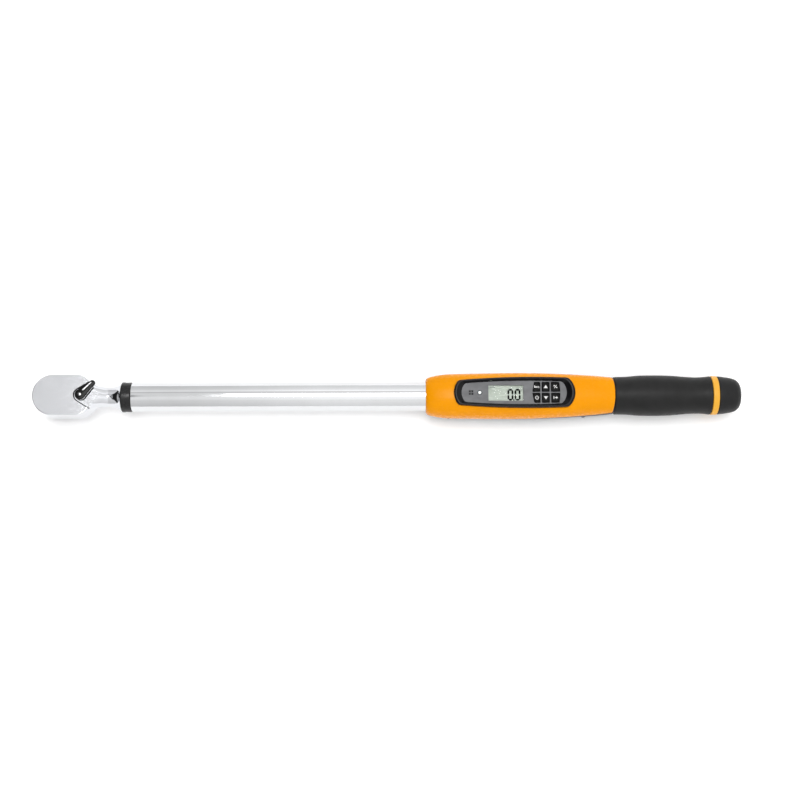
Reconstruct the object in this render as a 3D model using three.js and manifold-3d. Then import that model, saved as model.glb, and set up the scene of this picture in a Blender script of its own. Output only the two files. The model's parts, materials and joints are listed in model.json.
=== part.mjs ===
// Electronic torque wrench with a 1/2 inch square drive, as an assembly of its separate pieces.
//
// Frame: millimetres, +Z up on the display side, +X from the ratchet head to the battery cap.
// The origin is where the axis of the drive square meets the square's end face. Every piece is
// drawn from the long axis of the tube, so the whole group is lifted by AXIS_HEIGHT.

import * as THREE from "three";
import { mergeVertices } from "three/addons/utils/BufferGeometryUtils.js";
import Module from "manifold-3d";

const wasm = await Module();
wasm.setup();

// ---------------------------------------------------------------- driving dimensions

const AXIS_HEIGHT = 24.3;
const ROUND = 28;
const SMALL_ROUND = 16;
const WIRE_SIDES = 6;
const FIT = 0.2;
const THROUGH = 60;

const HEAD = {
  faceRadius: 17.6, faceHalfWidth: 17.3, blockEnd: 23, bevel: 1.3, top: 14.5, bottom: -10,
  boreRadius: 14.9, boreTop: 5.3, journalRadius: 11.8, journalTop: 9.8,
  grooveRadius: 16.1, grooveBottom: -9.3, grooveTop: -8,
};
// Sections of the forging from the head to the neck: x, half width, top, bottom, corner radius.
const HEAD_SECTIONS = [
  [20, 18.58, 14.48, -9.98, 1.3],
  [24.5, 18.4, 14.48, -9.98, 1.3],
  [28, 16.9, 14.4, -9.98, 1.4],
  [31, 15, 14.3, -9.9, 1.6],
  [34, 12.6, 14, -9.8, 1.9],
  [37, 10.7, 13.2, -9.6, 2.4],
  [40, 9.4, 11.9, -9.3, 4],
  [43, 8.8, 10.3, -8.9, 6.2],
  [46, 8.55, 9, -8.65, 8.2],
  [48.5, 8.5, 8.5, -8.5, 8.45],
];

// Turned neck behind the last section, with its shoulder against the collar: x, radius.
const NECK_PROFILE = [
  [46, 0], [46, 8.4], [48.5, 8.5], [52, 9.05], [55.4, 9.7], [58, 10.5], [59.8, 11.6], [61, 12.8], [61, 10.8],
];
// One side of the room for the pawl behind the gear bore: x, y.
const PAWL_ROOM = [[9, 14.2], [14.2, 14.6], [21.2, 10.6], [24.5, 7], [30.5, 5], [31.8, 0]];

const LEVER = {
  x: 25.4, restAngle: THREE.MathUtils.degToRad(44), hubRadius: 4.8, tipRadius: 2.6, reach: 15.3,
  pocketRadius: 6.8, pocketAngle: THREE.MathUtils.degToRad(31.5), pocketFloor: 13.7,
  pocketFar: 52, hubBottom: 13.85, armBottom: 14.8, top: 17.2, ribTop: 18.1, shaftRadius: 3, shaftBottom: -4.6,
};
const LEVER_RIB = { hubRadius: 1.3, tipRadius: 0.9, reach: 9.6, start: 4.6, root: 0.5 };
const PLUNGER = { radius: 1.2, tip: 5.7, noseRadius: 0.6, length: 4.2, holeEnd: 1.7 };
const PLUNGER_SPRING = { radius: 0.8, wire: 0.18, end: 1.3, gap: 0.4, turns: 3 };

const GEAR = {
  teeth: 84, tipRadius: 14, rootRadius: 13.25, halfHeight: 5, journalRadius: 11.5, journalTop: 9.4,
  flangeRadius: 12.4, flangeBottom: -7, neckRadius: 9.1, neckBottom: -10.4,
};
const CLIP = {
  bottom: -9.15, top: -8.15, bore: 12.9, radius: 15.8, earX: 12.9, earY: 4.9, earRadius: 1.7,
  earHole: 0.8, gapHalf: 3.4,
};
const SQUARE = { acrossFlats: 12.7, corner: 1.2, chamfer: 1 };
const BALL = { radius: 2.4, centreY: -4.85, z: -17.5, holeEnd: 2.3 };
const BALL_SPRING = { start: -1.4, end: 2, radius: 1.6, wire: 0.25, turns: 3 };
const GEAR_WASHER = { bottom: -7.95, top: -7.15, bore: 9.4, radius: 14.7 };
const PAWL = {
  pivotX: 17.3, rock: THREE.MathUtils.degToRad(3.6), halfHeight: 4.6, frontRadius: 14.13,
  reliefRadius: 15, reliefAngle: THREE.MathUtils.degToRad(18), endAngle: THREE.MathUtils.degToRad(44),
  backRadius: 6.2, pinRadius: 1.25, holeRadius: 1.4, toothClearance: 0.21,
};
// Back corners of the pawl on one side: x, y.
const PAWL_BACK = [[14, 13.5], [20, 9.5], [22, 5.2]];

const COLLAR = { start: 61.3, end: 70.4, radius: 13.7, bore: 10.95, chamfer: 0.7 };
const TUBE = { start: 70.6, end: 603.8, radius: 13.1, bore: 11, edge: 0.5 };
const BEAM = { plugEnd: 95, half: 6.5, end: 140, journalRadius: 7.2, journalEnd: 158 };
const BEAM_BUSH = { setBack: 2, clearance: 0.15 };
const GAUGE = { x0: 108, x1: 120, halfHeight: 3.2, gap: 0.05, thickness: 0.35 };
const CABLE_SLOTS = [{ start: 382, end: 402 }, { start: 460, end: 482 }];
const CABLE = { radius: 0.7, height: 8.9, notchHalf: 1.2 };
const GAUGE_CABLE_PATH = [
  [100, 0, 8.9], [160, 0, 8.9], [270, 0, 8.9], [380, 0, 8.9], [388, 0, 10], [393, 0, 12], [396, 0, 13.2],
];
const BATTERY_LEAD_PATH = [[492.4, 0, 0], [487, 0, 2.5], [480, 0, 7.5], [473, 0, 11], [466, 0, 13.2]];

// Sections of the housing: x, half width, top, bottom, all from the tube's axis.
const HOUSING_SECTIONS = [
  [341.4, 14.6, 14.6, -15.6],
  [343.7, 17, 16.6, -18],
  [347.4, 18.1, 17.8, -19.6],
  [354.8, 19.4, 19, -21.6],
  [362, 20.1, 19.7, -22.8],
  [378, 20.4, 20.3, -23.7],
  [400, 20.8, 20.6, -24.2],
  [424, 21, 20.7, -24.3],
  [447, 20.7, 20.6, -24.1],
  [470, 19.8, 20.2, -23.2],
  [490, 18.7, 19.2, -21.3],
  [507.6, 17.4, 18, -19],
  [514.4, 16.7, 17.2, -17.6],
];
const HOUSING = { wall: 2.2, front: 344.4, rear: 511.9, topPower: 2.4, bottomPower: 2.4, tubeHole: 13.3 };
const PARTING = { front: 336, frontZ: -9.2, rear: 520, rearZ: -1.2, gap: 0.16 };
const BOSS = { radius: 2.7, top: 9, screwHole: 1.6, counterbore: 2.9 };
const SCREW = { radius: 1.4, headRadius: 2.6, headHeight: 2, top: 6.5, slot: 0.8 };
const SCREW_PLACES = [
  { name: "housing_screw_front_left", x: 363, y: 16.2, seat: -12.5 },
  { name: "housing_screw_front_right", x: 363, y: -16.2, seat: -12.5 },
  { name: "housing_screw_rear_left", x: 488, y: 15.9, seat: -10.5 },
  { name: "housing_screw_rear_right", x: 488, y: -15.9, seat: -10.5 },
];

// Barrel outlines: the two ends on the centre line, then the corners and the middle of a long side.
const BEZEL_OUTLINE = {
  x0: 366.9, x1: 477.6, leftX: 371, leftY: 11.4, midY: 14, rightX: 471.4, rightY: 13.4,
};
const RIM_OUTLINE = {
  x0: 370.6, x1: 473.9, leftX: 374.4, leftY: 9.8, midY: 12, rightX: 468.4, rightY: 11.5,
};
const PANEL_OUTLINE = {
  x0: 373.9, x1: 469.9, leftX: 377.2, leftY: 8.6, midY: 10.7, rightX: 465.6, rightY: 10.1,
};
const OPENING_GAP = 0.15;
const BEZEL = { bottom: 16.2, lip: 18.7, top: 21.4 };
const PANEL = { bottom: 17.8, top: 18.6, ledge: 0.6 };
const WINDOW = { x0: 398.4, x1: 430.1, y0: -7.7, y1: 6.7 };
const LENS = { margin: 1.4, bottom: 17.1, top: 17.6 };
const LCD = { margin: 2.2, bottom: 15.8, top: 16.9 };
const BOARD = { x0: 374, x1: 470, halfWidth: 11.5, bottom: 14.3, top: 15.5 };
const LIGHT = { x: 390.5, radius: 1.5, hole: 1.75, bottom: 15.8, top: 18.95 };
const BUZZER = { x: 382.6, radius: 4.4, bottom: 15.8, top: 17.5, grilleSize: 4.2, bar: 0.5, wellDepth: 0.6 };
const KEY_COLUMNS = [
  { x0: 438.7, x1: 445.5, slantLeft: 1.7, slantRight: 0 },
  { x0: 447.3, x1: 454, slantLeft: 0, slantRight: 0 },
  { x0: 455.8, x1: 463.8, slantLeft: 0, slantRight: 0.9 },
];
const KEY = { y0: 0.75, y1: 9.4, corner: 0.9, bottom: 16.7, top: 19.4, bevel: 0.35, holeGrow: 0.3 };
const KEY_NAMES = [
  ["key_memory", "key_up", "key_units"],
  ["key_power", "key_down", "key_mode"],
];
const KEY_MAT = { x0: 436.5, x1: 466, halfWidth: 10.2, bottom: 15.75, top: 16 };

// Grip radius along the handle: x, radius.
const GRIP_PROFILE = [
  [514.9, 16.7], [515.5, 17.3], [525.7, 17.6], [540, 18.65], [553.5, 18.8], [567, 18.4],
  [582, 17.2], [590, 16.8], [602.8, 17.6], [603.9, 17.2],
];
const GRIP_BORE = 13.3;
const TRIM = { start: 604.2, end: 609.8, bore: 11, radius: 17.95, edge: 0.5 };
const INSERT = { start: 592.5, end: 608, radius: 10.8, bore: 9.5 };
const SLEEVE = { start: 493.5, end: 592, radius: 10.7, bore: 7.6, floor: 3 };
const CELL = { radius: 7.25, bodyLength: 49, tipLength: 1.4, tipRadius: 2.75, front: 499.2, rear: 549.8 };
const CONTACT = { x: 496.8, radius: 6.5, thickness: 0.5, bossRadius: 2.2, bossLength: 0.9 };
const CAP_PROFILE = [
  [610.2, 9.3], [610.2, 17.2], [610.7, 17.6], [614.2, 17.35], [618, 16.85], [621.6, 16.25], [624.4, 15.6],
  [626.8, 14.7], [628.8, 13.3], [630.4, 11.4], [631.3, 9.2], [631.6, 7],
];
const CAP = { spigotStart: 596, spigotRadius: 9.3, recessRadius: 7.7, recessFloor: 606 };
const CAP_SPRING = { start: 600.6, end: 605.6, wide: 5.6, narrow: 3.2, wire: 0.45, turns: 4, steps: 40 };
const SEAL = { x: 609, ringRadius: 10.2, sectionRadius: 0.55 };

// ---------------------------------------------------------------- finishes

const finish = (color, roughness, metalness) => ({ color, roughness, metalness });
const CHROME = finish(0xdfe1e4, 0.12, 1);
const STEEL = finish(0x9b9da0, 0.4, 1);
const SPRING_STEEL = finish(0x7c7f84, 0.35, 1);
const BLACK_STEEL = finish(0x1c1c1e, 0.35, 0.6);
const ORANGE = finish(0xfaa508, 0.42, 0);
const RING_ORANGE = finish(0xf9ba32, 0.4, 0);
const BLACK_PLASTIC = finish(0x242426, 0.5, 0);
const BLACK_GLOSS = finish(0x17181a, 0.18, 0);
const BLACK_RUBBER = finish(0x313133, 0.75, 0);
const PANEL_GREY = finish(0xa2a3a6, 0.35, 0.4);
const GLASS = finish(0xe6eee8, 0.05, 0);
const LCD_GREEN = finish(0xc8d7c8, 0.3, 0);
const BOARD_GREEN = finish(0x1f5a36, 0.45, 0);
const BRASS = finish(0xc9a24a, 0.35, 1);
const CELL_SILVER = finish(0xb9bcc2, 0.3, 0.8);
const WHITE_LIGHT = finish(0xf4f4ef, 0.3, 0);
const FOIL = finish(0xb8843a, 0.4, 0);

// ---------------------------------------------------------------- solids

/** Closed solid from a geometry whose shared corners are merged. */
function solid(geometry) {
  const bare = geometry.clone();
  bare.deleteAttribute("normal");
  bare.deleteAttribute("uv");
  const merged = mergeVertices(bare, 1e-4);
  const vertProperties = new Float32Array(merged.attributes.position.array);
  const triVerts = new Uint32Array(merged.index.array);
  return new wasm.Manifold(new wasm.Mesh({ numProp: 3, vertProperties, triVerts }));
}

/** Geometry of a solid after its joins and cuts. */
function geometryOf(body) {
  const mesh = body.getMesh();
  const geometry = new THREE.BufferGeometry();
  geometry.setAttribute("position", new THREE.BufferAttribute(new Float32Array(mesh.vertProperties), 3));
  geometry.setIndex(new THREE.BufferAttribute(new Uint32Array(mesh.triVerts), 1));
  geometry.computeVertexNormals();
  return geometry;
}

/** Turned along X: the profile is a list of [x, radius]. */
function turnedX(profile, segments = ROUND) {
  const points = profile.map(([x, radius]) => new THREE.Vector2(radius, x));
  return solid(new THREE.LatheGeometry(points, segments).rotateZ(-Math.PI / 2));
}

/** Turned along Z: the profile is a list of [radius, z]. */
function turnedZ(profile, segments = ROUND) {
  const points = profile.map(([radius, z]) => new THREE.Vector2(radius, z));
  return solid(new THREE.LatheGeometry(points, segments).rotateX(Math.PI / 2));
}

/** Plain rod along X. */
const rodX = (x0, x1, radius, segments = ROUND) =>
  turnedX([[x0, 0], [x0, radius], [x1, radius], [x1, 0]], segments);

/** Plain rod along Z at (x, y). */
const rodZ = (x, y, z0, z1, radius, segments = SMALL_ROUND) =>
  turnedZ([[0, z0], [radius, z0], [radius, z1], [0, z1]], segments).translate([x, y, 0]);

/** Ring along X with a plain rectangular section. */
const ringX = (x0, x1, bore, radius) =>
  turnedX([[x0, bore], [x0, radius], [x1, radius], [x1, bore], [x0, bore]]);

/** Ring along Z with a plain rectangular section. */
const ringZ = (z0, z1, bore, radius) =>
  turnedZ([[bore, z0], [radius, z0], [radius, z1], [bore, z1], [bore, z0]]);

/** Box between two corners. */
function block(x0, x1, y0, y1, z0, z1) {
  const box = new THREE.BoxGeometry(x1 - x0, y1 - y0, z1 - z0);
  return solid(box.translate((x0 + x1) / 2, (y0 + y1) / 2, (z0 + z1) / 2));
}

/** Flat outline raised from z0 to z1, with its edges bevelled inside that height. */
function plate(outline, z0, z1, bevel = 0, segments = 4) {
  const options = {
    depth: z1 - z0 - 2 * bevel, curveSegments: segments, bevelEnabled: bevel > 0,
    bevelThickness: bevel, bevelSize: bevel, bevelSegments: 1,
  };
  return solid(new THREE.ExtrudeGeometry(outline, options).translate(0, 0, z0 + bevel));
}

/** Skin over rings that run anticlockwise about the direction they follow, with a flat fan on both ends. */
function loft(rings) {
  const count = rings[0].length;
  const middle = (ring) => ring.reduce((sum, p) => sum.add(p), new THREE.Vector3()).divideScalar(count);
  const points = [...rings.flat(), middle(rings[0]), middle(rings[rings.length - 1])];
  const first = points.length - 2;
  const last = points.length - 1;
  const index = [];
  for (let i = 0; i < count; i += 1) {
    const next = (i + 1) % count;
    index.push(first, next, i);
    for (let k = 0; k < rings.length - 1; k += 1) {
      const near = k * count;
      const far = near + count;
      index.push(near + i, far + next, far + i, near + i, near + next, far + next);
    }
    const end = (rings.length - 1) * count;
    index.push(last, end + i, end + next);
  }
  const geometry = new THREE.BufferGeometry().setFromPoints(points);
  geometry.setIndex(index);
  return solid(geometry);
}

/** Wire or cable of a round section along a curve. */
function wire(curve, radius, steps) {
  const section = new THREE.Shape();
  section.absarc(0, 0, radius, 0, 2 * Math.PI);
  const options = { steps, extrudePath: curve, curveSegments: WIRE_SIDES / 2, bevelEnabled: false };
  return solid(new THREE.ExtrudeGeometry(section, options));
}

/** Helix along X, from radius r0 at x0 to radius r1 at x1. */
class Coil extends THREE.Curve {
  constructor(x0, x1, r0, r1, turns) {
    super();
    Object.assign(this, { x0, x1, r0, r1, turns });
  }

  getPoint(t, target = new THREE.Vector3()) {
    const angle = 2 * Math.PI * this.turns * t;
    const radius = THREE.MathUtils.lerp(this.r0, this.r1, t);
    const x = THREE.MathUtils.lerp(this.x0, this.x1, t);
    return target.set(x, radius * Math.cos(angle), radius * Math.sin(angle));
  }
}

/** Polygon of [x, y] corners with each corner rounded. */
function roundedPolygon(corners, radius) {
  const shape = new THREE.Shape();
  corners.forEach(([x, y], i) => {
    const here = new THREE.Vector2(x, y);
    const [before, after] = [corners.at(i - 1), corners[(i + 1) % corners.length]];
    const enter = new THREE.Vector2(...before).sub(here).setLength(radius).add(here);
    const leave = new THREE.Vector2(...after).sub(here).setLength(radius).add(here);
    if (i === 0) {
      shape.moveTo(enter.x, enter.y);
    } else {
      shape.lineTo(enter.x, enter.y);
    }
    shape.quadraticCurveTo(x, y, leave.x, leave.y);
  });
  return shape;
}

/** Points on the arc from a to c through b, without c itself. */
function arcThrough(a, b, c, count) {
  const [ax, ay, bx, by, cx, cy] = [...a, ...b, ...c];
  const d = 2 * (ax * (by - cy) + bx * (cy - ay) + cx * (ay - by));
  const [a2, b2, c2] = [ax * ax + ay * ay, bx * bx + by * by, cx * cx + cy * cy];
  const ux = (a2 * (by - cy) + b2 * (cy - ay) + c2 * (ay - by)) / d;
  const uy = (a2 * (cx - bx) + b2 * (ax - cx) + c2 * (bx - ax)) / d;
  const radius = Math.hypot(ax - ux, ay - uy);
  const start = Math.atan2(ay - uy, ax - ux);
  const turn = Math.atan2(cy - uy, cx - ux) - start;
  const sweep = Math.atan2(Math.sin(turn), Math.cos(turn));
  const at = (i) => start + (sweep * i) / count;
  const pointAt = (angle) => [ux + radius * Math.cos(angle), uy + radius * Math.sin(angle)];
  return Array.from({ length: count }, (_, i) => pointAt(at(i)));
}

/** Barrel outline as a closed list of [x, y], grown outwards by a margin. */
function barrel(outline, grow = 0) {
  const { x0, x1, leftX, leftY, midY, rightX, rightY } = outline;
  const middleX = (leftX + rightX) / 2;
  const [left, right] = [leftY + grow, rightY + grow];
  const corners = [[leftX - grow / 2, left], [rightX + grow / 2, right]];
  const mirror = ([x, y]) => [x, -y];
  return [
    ...arcThrough(mirror(corners[0]), [middleX, -midY - grow], mirror(corners[1]), 10),
    ...arcThrough(mirror(corners[1]), [x1 + grow, 0], corners[1], 8),
    ...arcThrough(corners[1], [middleX, midY + grow], corners[0], 10),
    ...arcThrough(corners[0], [x0 - grow, 0], mirror(corners[0]), 8),
  ];
}

/** Prism or tapered prism between two outlines of equal length. */
function prism(lower, z0, upper, z1) {
  const ring = (outline, z) => outline.map(([x, y]) => new THREE.Vector3(x, y, z));
  return loft([ring(lower, z0), ring(upper, z1)]);
}

// ---------------------------------------------------------------- assembly

const wrench = new THREE.Group();
const tool = new THREE.Group();
tool.position.z = AXIS_HEIGHT;
wrench.add(tool);

/** Puts a finished solid into the tool as a named mesh. */
function fit(name, body, look) {
  const mesh = new THREE.Mesh(geometryOf(body), new THREE.MeshStandardMaterial(look));
  mesh.name = name;
  tool.add(mesh);
}

// ---------------------------------------------------------------- ratchet head

/** Rounded rectangle across the forging: the same points at every section. */
function headSection([x, halfWidth, top, bottom, corner]) {
  const perCorner = 3;
  const points = [];
  for (let quarter = 0; quarter < 4; quarter += 1) {
    const right = quarter === 0 || quarter === 3;
    const up = quarter < 2;
    const y = (halfWidth - corner) * (right ? 1 : -1);
    const z = up ? top - corner : bottom + corner;
    for (let i = 0; i <= perCorner; i += 1) {
      const angle = (Math.PI / 2) * (quarter + i / perCorner);
      points.push(new THREE.Vector3(x, y + corner * Math.cos(angle), z + corner * Math.sin(angle)));
    }
  }
  return points;
}

/** Flat face outline of the head: a round nose between two straight sides. */
function headFace() {
  const shape = new THREE.Shape();
  const corner = Math.asin(HEAD.faceHalfWidth / HEAD.faceRadius);
  shape.moveTo(HEAD.blockEnd, -HEAD.faceHalfWidth);
  shape.lineTo(HEAD.blockEnd, HEAD.faceHalfWidth);
  shape.absarc(0, 0, HEAD.faceRadius, Math.PI - corner, Math.PI + corner);
  shape.closePath();
  return shape;
}

/** V-shaped recess that the lever swings in, open towards the neck. */
function leverPocket() {
  const shape = new THREE.Shape();
  const far = LEVER.pocketFar;
  const turn = Math.PI / 2 + LEVER.pocketAngle;
  const edgeX = LEVER.x + LEVER.pocketRadius * Math.cos(turn);
  const edgeY = LEVER.pocketRadius * Math.sin(turn);
  const spread = edgeY + (far - edgeX) * Math.tan(LEVER.pocketAngle);
  shape.moveTo(far, -spread);
  shape.lineTo(far, spread);
  shape.absarc(LEVER.x, 0, LEVER.pocketRadius, turn, 2 * Math.PI - turn);
  shape.closePath();
  return plate(shape, LEVER.pocketFloor, HEAD.top + 2, 0, 10);
}

/** Room for the pawl and the lever's shaft, milled sideways out of the gear bore. */
function pawlChamber() {
  const mirrored = PAWL_ROOM.slice(0, -1).reverse().map(([x, y]) => [x, -y]);
  const corners = [...PAWL_ROOM, ...mirrored].reverse();
  const outline = new THREE.Shape(corners.map(([x, y]) => new THREE.Vector2(x, y)));
  return plate(outline, -GEAR.halfHeight, GEAR.halfHeight);
}

function makeHead() {
  const plugRadius = NECK_PROFILE.at(-1)[1];
  const neck = turnedX([...NECK_PROFILE, [BEAM.plugEnd, plugRadius], [BEAM.plugEnd, 0]]);
  const beam = block(BEAM.plugEnd - 1, BEAM.end, -BEAM.half, BEAM.half, -BEAM.half, BEAM.half);
  const journal = rodX(BEAM.end - 1, BEAM.journalEnd, BEAM.journalRadius);
  const bore = turnedZ([
    [0, HEAD.bottom - 1], [HEAD.boreRadius, HEAD.bottom - 1], [HEAD.boreRadius, HEAD.boreTop],
    [HEAD.journalRadius, HEAD.boreTop], [HEAD.journalRadius, HEAD.journalTop], [0, HEAD.journalTop],
  ]);
  const groove = rodZ(0, 0, HEAD.grooveBottom, HEAD.grooveTop, HEAD.grooveRadius, ROUND);
  const shaftHole = rodZ(LEVER.x, 0, 0, HEAD.top + 1, LEVER.shaftRadius + FIT);
  const pinHole = rodZ(PAWL.pivotX, 0, HEAD.bottom - 1, GEAR.halfHeight + 3, PAWL.pinRadius + 0.1);
  const notchFloor = CABLE.height - CABLE.notchHalf;
  const cableNotch = block(
    BEAM.plugEnd - 12, BEAM.plugEnd + 1, -CABLE.notchHalf, CABLE.notchHalf, notchFloor, THROUGH);
  return plate(headFace(), HEAD.bottom, HEAD.top, HEAD.bevel, 10)
    .add(loft(HEAD_SECTIONS.map(headSection)))
    .add(neck)
    .add(beam)
    .add(journal)
    .subtract(bore)
    .subtract(groove)
    .subtract(pawlChamber())
    .subtract(leverPocket())
    .subtract(shaftHole)
    .subtract(pinHole)
    .subtract(cableNotch);
}

/** Toothed outline about the drive axis: one tip and one root point for each tooth. */
function gearOutline(tip, root) {
  const count = 2 * GEAR.teeth;
  const at = (i) => (Math.PI * i) / GEAR.teeth;
  const radius = (i) => (i % 2 === 0 ? tip : root);
  const points = Array.from({ length: count }, (_, i) =>
    new THREE.Vector2(radius(i) * Math.cos(at(i)), radius(i) * Math.sin(at(i))));
  return new THREE.Shape(points);
}

/** Drive square with rounded corners and a chamfered end. */
function driveSquare() {
  const half = SQUARE.acrossFlats / 2 - SQUARE.chamfer;
  const corners = [[-half, -half], [half, -half], [half, half], [-half, half]];
  const end = roundedPolygon(corners, SQUARE.corner);
  return plate(end, -AXIS_HEIGHT, GEAR.neckBottom + 2 * SQUARE.chamfer, SQUARE.chamfer);
}

function makeGear() {
  const hub = turnedZ([
    [0, GEAR.neckBottom], [GEAR.neckRadius, GEAR.neckBottom], [GEAR.neckRadius, GEAR.flangeBottom],
    [GEAR.flangeRadius, GEAR.flangeBottom], [GEAR.flangeRadius, -GEAR.halfHeight + 0.5],
    [GEAR.journalRadius, -GEAR.halfHeight + 0.5], [GEAR.journalRadius, GEAR.journalTop],
    [0, GEAR.journalTop],
  ]);
  const ballHole = rodZ(0, 0, -BALL.holeEnd, 10, BALL.radius + 0.12)
    .rotate([90, 0, 0]).translate([0, 0, BALL.z]);
  return plate(gearOutline(GEAR.tipRadius, GEAR.rootRadius), -GEAR.halfHeight, GEAR.halfHeight)
    .add(hub)
    .add(driveSquare())
    .subtract(ballHole);
}

/** Rocker pawl: its teeth are the spaces that the gear leaves in it at both ends of its rock. */
function makePawl() {
  const polar = (radius, angle) => [radius * Math.cos(angle), radius * Math.sin(angle)];
  const arc = (radius, from, to, count) => Array.from({ length: count + 1 }, (_, i) =>
    polar(radius, from + ((to - from) * i) / count));
  const { endAngle, reliefAngle, frontRadius, reliefRadius } = PAWL;
  const outline = [
    ...PAWL_BACK.map(([x, y]) => [x, -y]).reverse(),
    ...arc(frontRadius, -endAngle, -reliefAngle, 6),
    ...arc(reliefRadius, -reliefAngle, reliefAngle, 6),
    ...arc(frontRadius, reliefAngle, endAngle, 6),
    ...PAWL_BACK,
  ];
  const blank = new THREE.Shape(outline.reverse().map(([x, y]) => new THREE.Vector2(x, y)));
  const teeth = gearOutline(GEAR.tipRadius + PAWL.toothClearance, GEAR.rootRadius + PAWL.toothClearance);
  const carver = plate(teeth, -GEAR.halfHeight, GEAR.halfHeight);
  const rocked = (turn) => carver
    .translate([-PAWL.pivotX, 0, 0])
    .rotate([0, 0, THREE.MathUtils.radToDeg(turn)])
    .translate([PAWL.pivotX, 0, 0]);
  const height = PAWL.halfHeight;
  return plate(blank, -height, height)
    .subtract(rocked(PAWL.rock))
    .subtract(rocked(-PAWL.rock))
    .subtract(rodZ(LEVER.x, 0, -THROUGH, THROUGH, PAWL.backRadius, ROUND))
    .subtract(rodZ(PAWL.pivotX, 0, -THROUGH, THROUGH, PAWL.holeRadius))
    .translate([-PAWL.pivotX, 0, 0])
    .rotate([0, 0, -THREE.MathUtils.radToDeg(PAWL.rock)])
    .translate([PAWL.pivotX, 0, 0]);
}

/** Turns a piece drawn with the lever along +X to the lever's place and rest angle. */
const atLever = (body) =>
  body.rotate([0, 0, THREE.MathUtils.radToDeg(LEVER.restAngle)]).translate([LEVER.x, 0, 0]);

/** Teardrop from the hub to a smaller round tip. */
function leverOutline(hub, tip, reach) {
  const lean = Math.acos((hub - tip) / reach);
  const shape = new THREE.Shape();
  shape.absarc(0, 0, hub, lean, 2 * Math.PI - lean);
  shape.absarc(reach, 0, tip, -lean, lean);
  shape.closePath();
  return shape;
}

function makeLever() {
  const outline = leverOutline(LEVER.hubRadius, LEVER.tipRadius, LEVER.reach);
  const arm = plate(outline, LEVER.armBottom, LEVER.top, 0, 8);
  const hub = rodZ(0, 0, LEVER.hubBottom, LEVER.top - 0.5, LEVER.hubRadius - 0.05, ROUND);
  const shaft = rodZ(0, 0, LEVER.shaftBottom, LEVER.top - 1, LEVER.shaftRadius);
  const ribOutline = leverOutline(LEVER_RIB.hubRadius, LEVER_RIB.tipRadius, LEVER_RIB.reach);
  const rib = plate(ribOutline, LEVER.top - LEVER_RIB.root, LEVER.ribTop).translate([LEVER_RIB.start, 0, 0]);
  const plungerHole = rodX(-LEVER.shaftRadius - 1, PLUNGER.holeEnd, PLUNGER.radius + 0.1, SMALL_ROUND);
  return atLever(arm.add(hub).add(shaft).add(rib).subtract(plungerHole));
}

function makePlunger() {
  const { radius, tip, noseRadius, length } = PLUNGER;
  const back = length - tip;
  return atLever(turnedX([
    [-tip, 0], [-tip, noseRadius], [noseRadius - tip, radius], [back, radius], [back, 0],
  ], SMALL_ROUND));
}

function makePlungerSpring() {
  const { radius, wire: wireRadius, end, gap, turns } = PLUNGER_SPRING;
  const start = PLUNGER.length - PLUNGER.tip + gap;
  return atLever(wire(new Coil(start, end, radius, radius, turns), wireRadius, 24));
}

/** Open ring that snaps into the groove of the gear bore. */
function makeRetainingRing() {
  const { bottom, top, bore, radius, earX, earY, earRadius, earHole, gapHalf } = CLIP;
  let ring = ringZ(bottom, top, bore, radius);
  for (const y of [-earY, earY]) {
    ring = ring.add(rodZ(earX, y, bottom, top, earRadius)).subtract(rodZ(earX, y, -THROUGH, THROUGH, earHole));
  }
  return ring.subtract(block(bore - 3, THROUGH, -gapHalf, gapHalf, -THROUGH, THROUGH));
}

function makeBallSpring() {
  const { start, end, radius, wire: wireRadius, turns } = BALL_SPRING;
  return wire(new Coil(start, end, radius, radius, turns), wireRadius, 24)
    .rotate([0, 0, 90])
    .translate([0, 0, BALL.z]);
}

const ball = new THREE.SphereGeometry(BALL.radius, 12, 8).translate(0, BALL.centreY, BALL.z);
fit("ratchet_head", makeHead(), CHROME);
fit("drive_gear", makeGear(), STEEL);
fit("drive_ball", solid(ball), STEEL);
fit("ball_spring", makeBallSpring(), SPRING_STEEL);
fit("pawl", makePawl(), STEEL);
fit("pawl_pin", rodZ(PAWL.pivotX, 0, HEAD.bottom + 0.4, GEAR.halfHeight + 2.8, PAWL.pinRadius), STEEL);
fit("reversing_lever", makeLever(), BLACK_STEEL);
fit("lever_plunger", makePlunger(), STEEL);
fit("plunger_spring", makePlungerSpring(), SPRING_STEEL);
fit("gear_washer", ringZ(GEAR_WASHER.bottom, GEAR_WASHER.top, GEAR_WASHER.bore, GEAR_WASHER.radius), STEEL);
fit("retaining_ring", makeRetainingRing(), SPRING_STEEL);

// ---------------------------------------------------------------- tube and torque sensor

function makeCollar() {
  const { start, end, bore, radius, chamfer } = COLLAR;
  return turnedX([
    [start, bore], [start, radius - chamfer], [start + chamfer, radius], [end - chamfer, radius],
    [end, radius - chamfer], [end, bore], [start, bore],
  ]);
}

function makeTube() {
  const { start, end, bore, radius, edge } = TUBE;
  const slots = CABLE_SLOTS.map((slot) => block(slot.start, slot.end, -2.5, 2.5, bore - 3, radius + 1));
  const shell = turnedX([
    [start, bore], [start, radius - edge], [start + edge, radius], [end, radius], [end, bore], [start, bore],
  ]);
  return slots.reduce((body, slot) => body.subtract(slot), shell);
}

function makeBeamBush() {
  const { setBack, clearance } = BEAM_BUSH;
  const notchFloor = CABLE.height - CABLE.notchHalf;
  const notch = block(BEAM.end, BEAM.journalEnd, -CABLE.notchHalf, CABLE.notchHalf, notchFloor, THROUGH);
  return ringX(
    BEAM.end + setBack, BEAM.journalEnd - 1, BEAM.journalRadius + clearance, TUBE.bore - clearance,
  ).subtract(notch);
}

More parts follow.
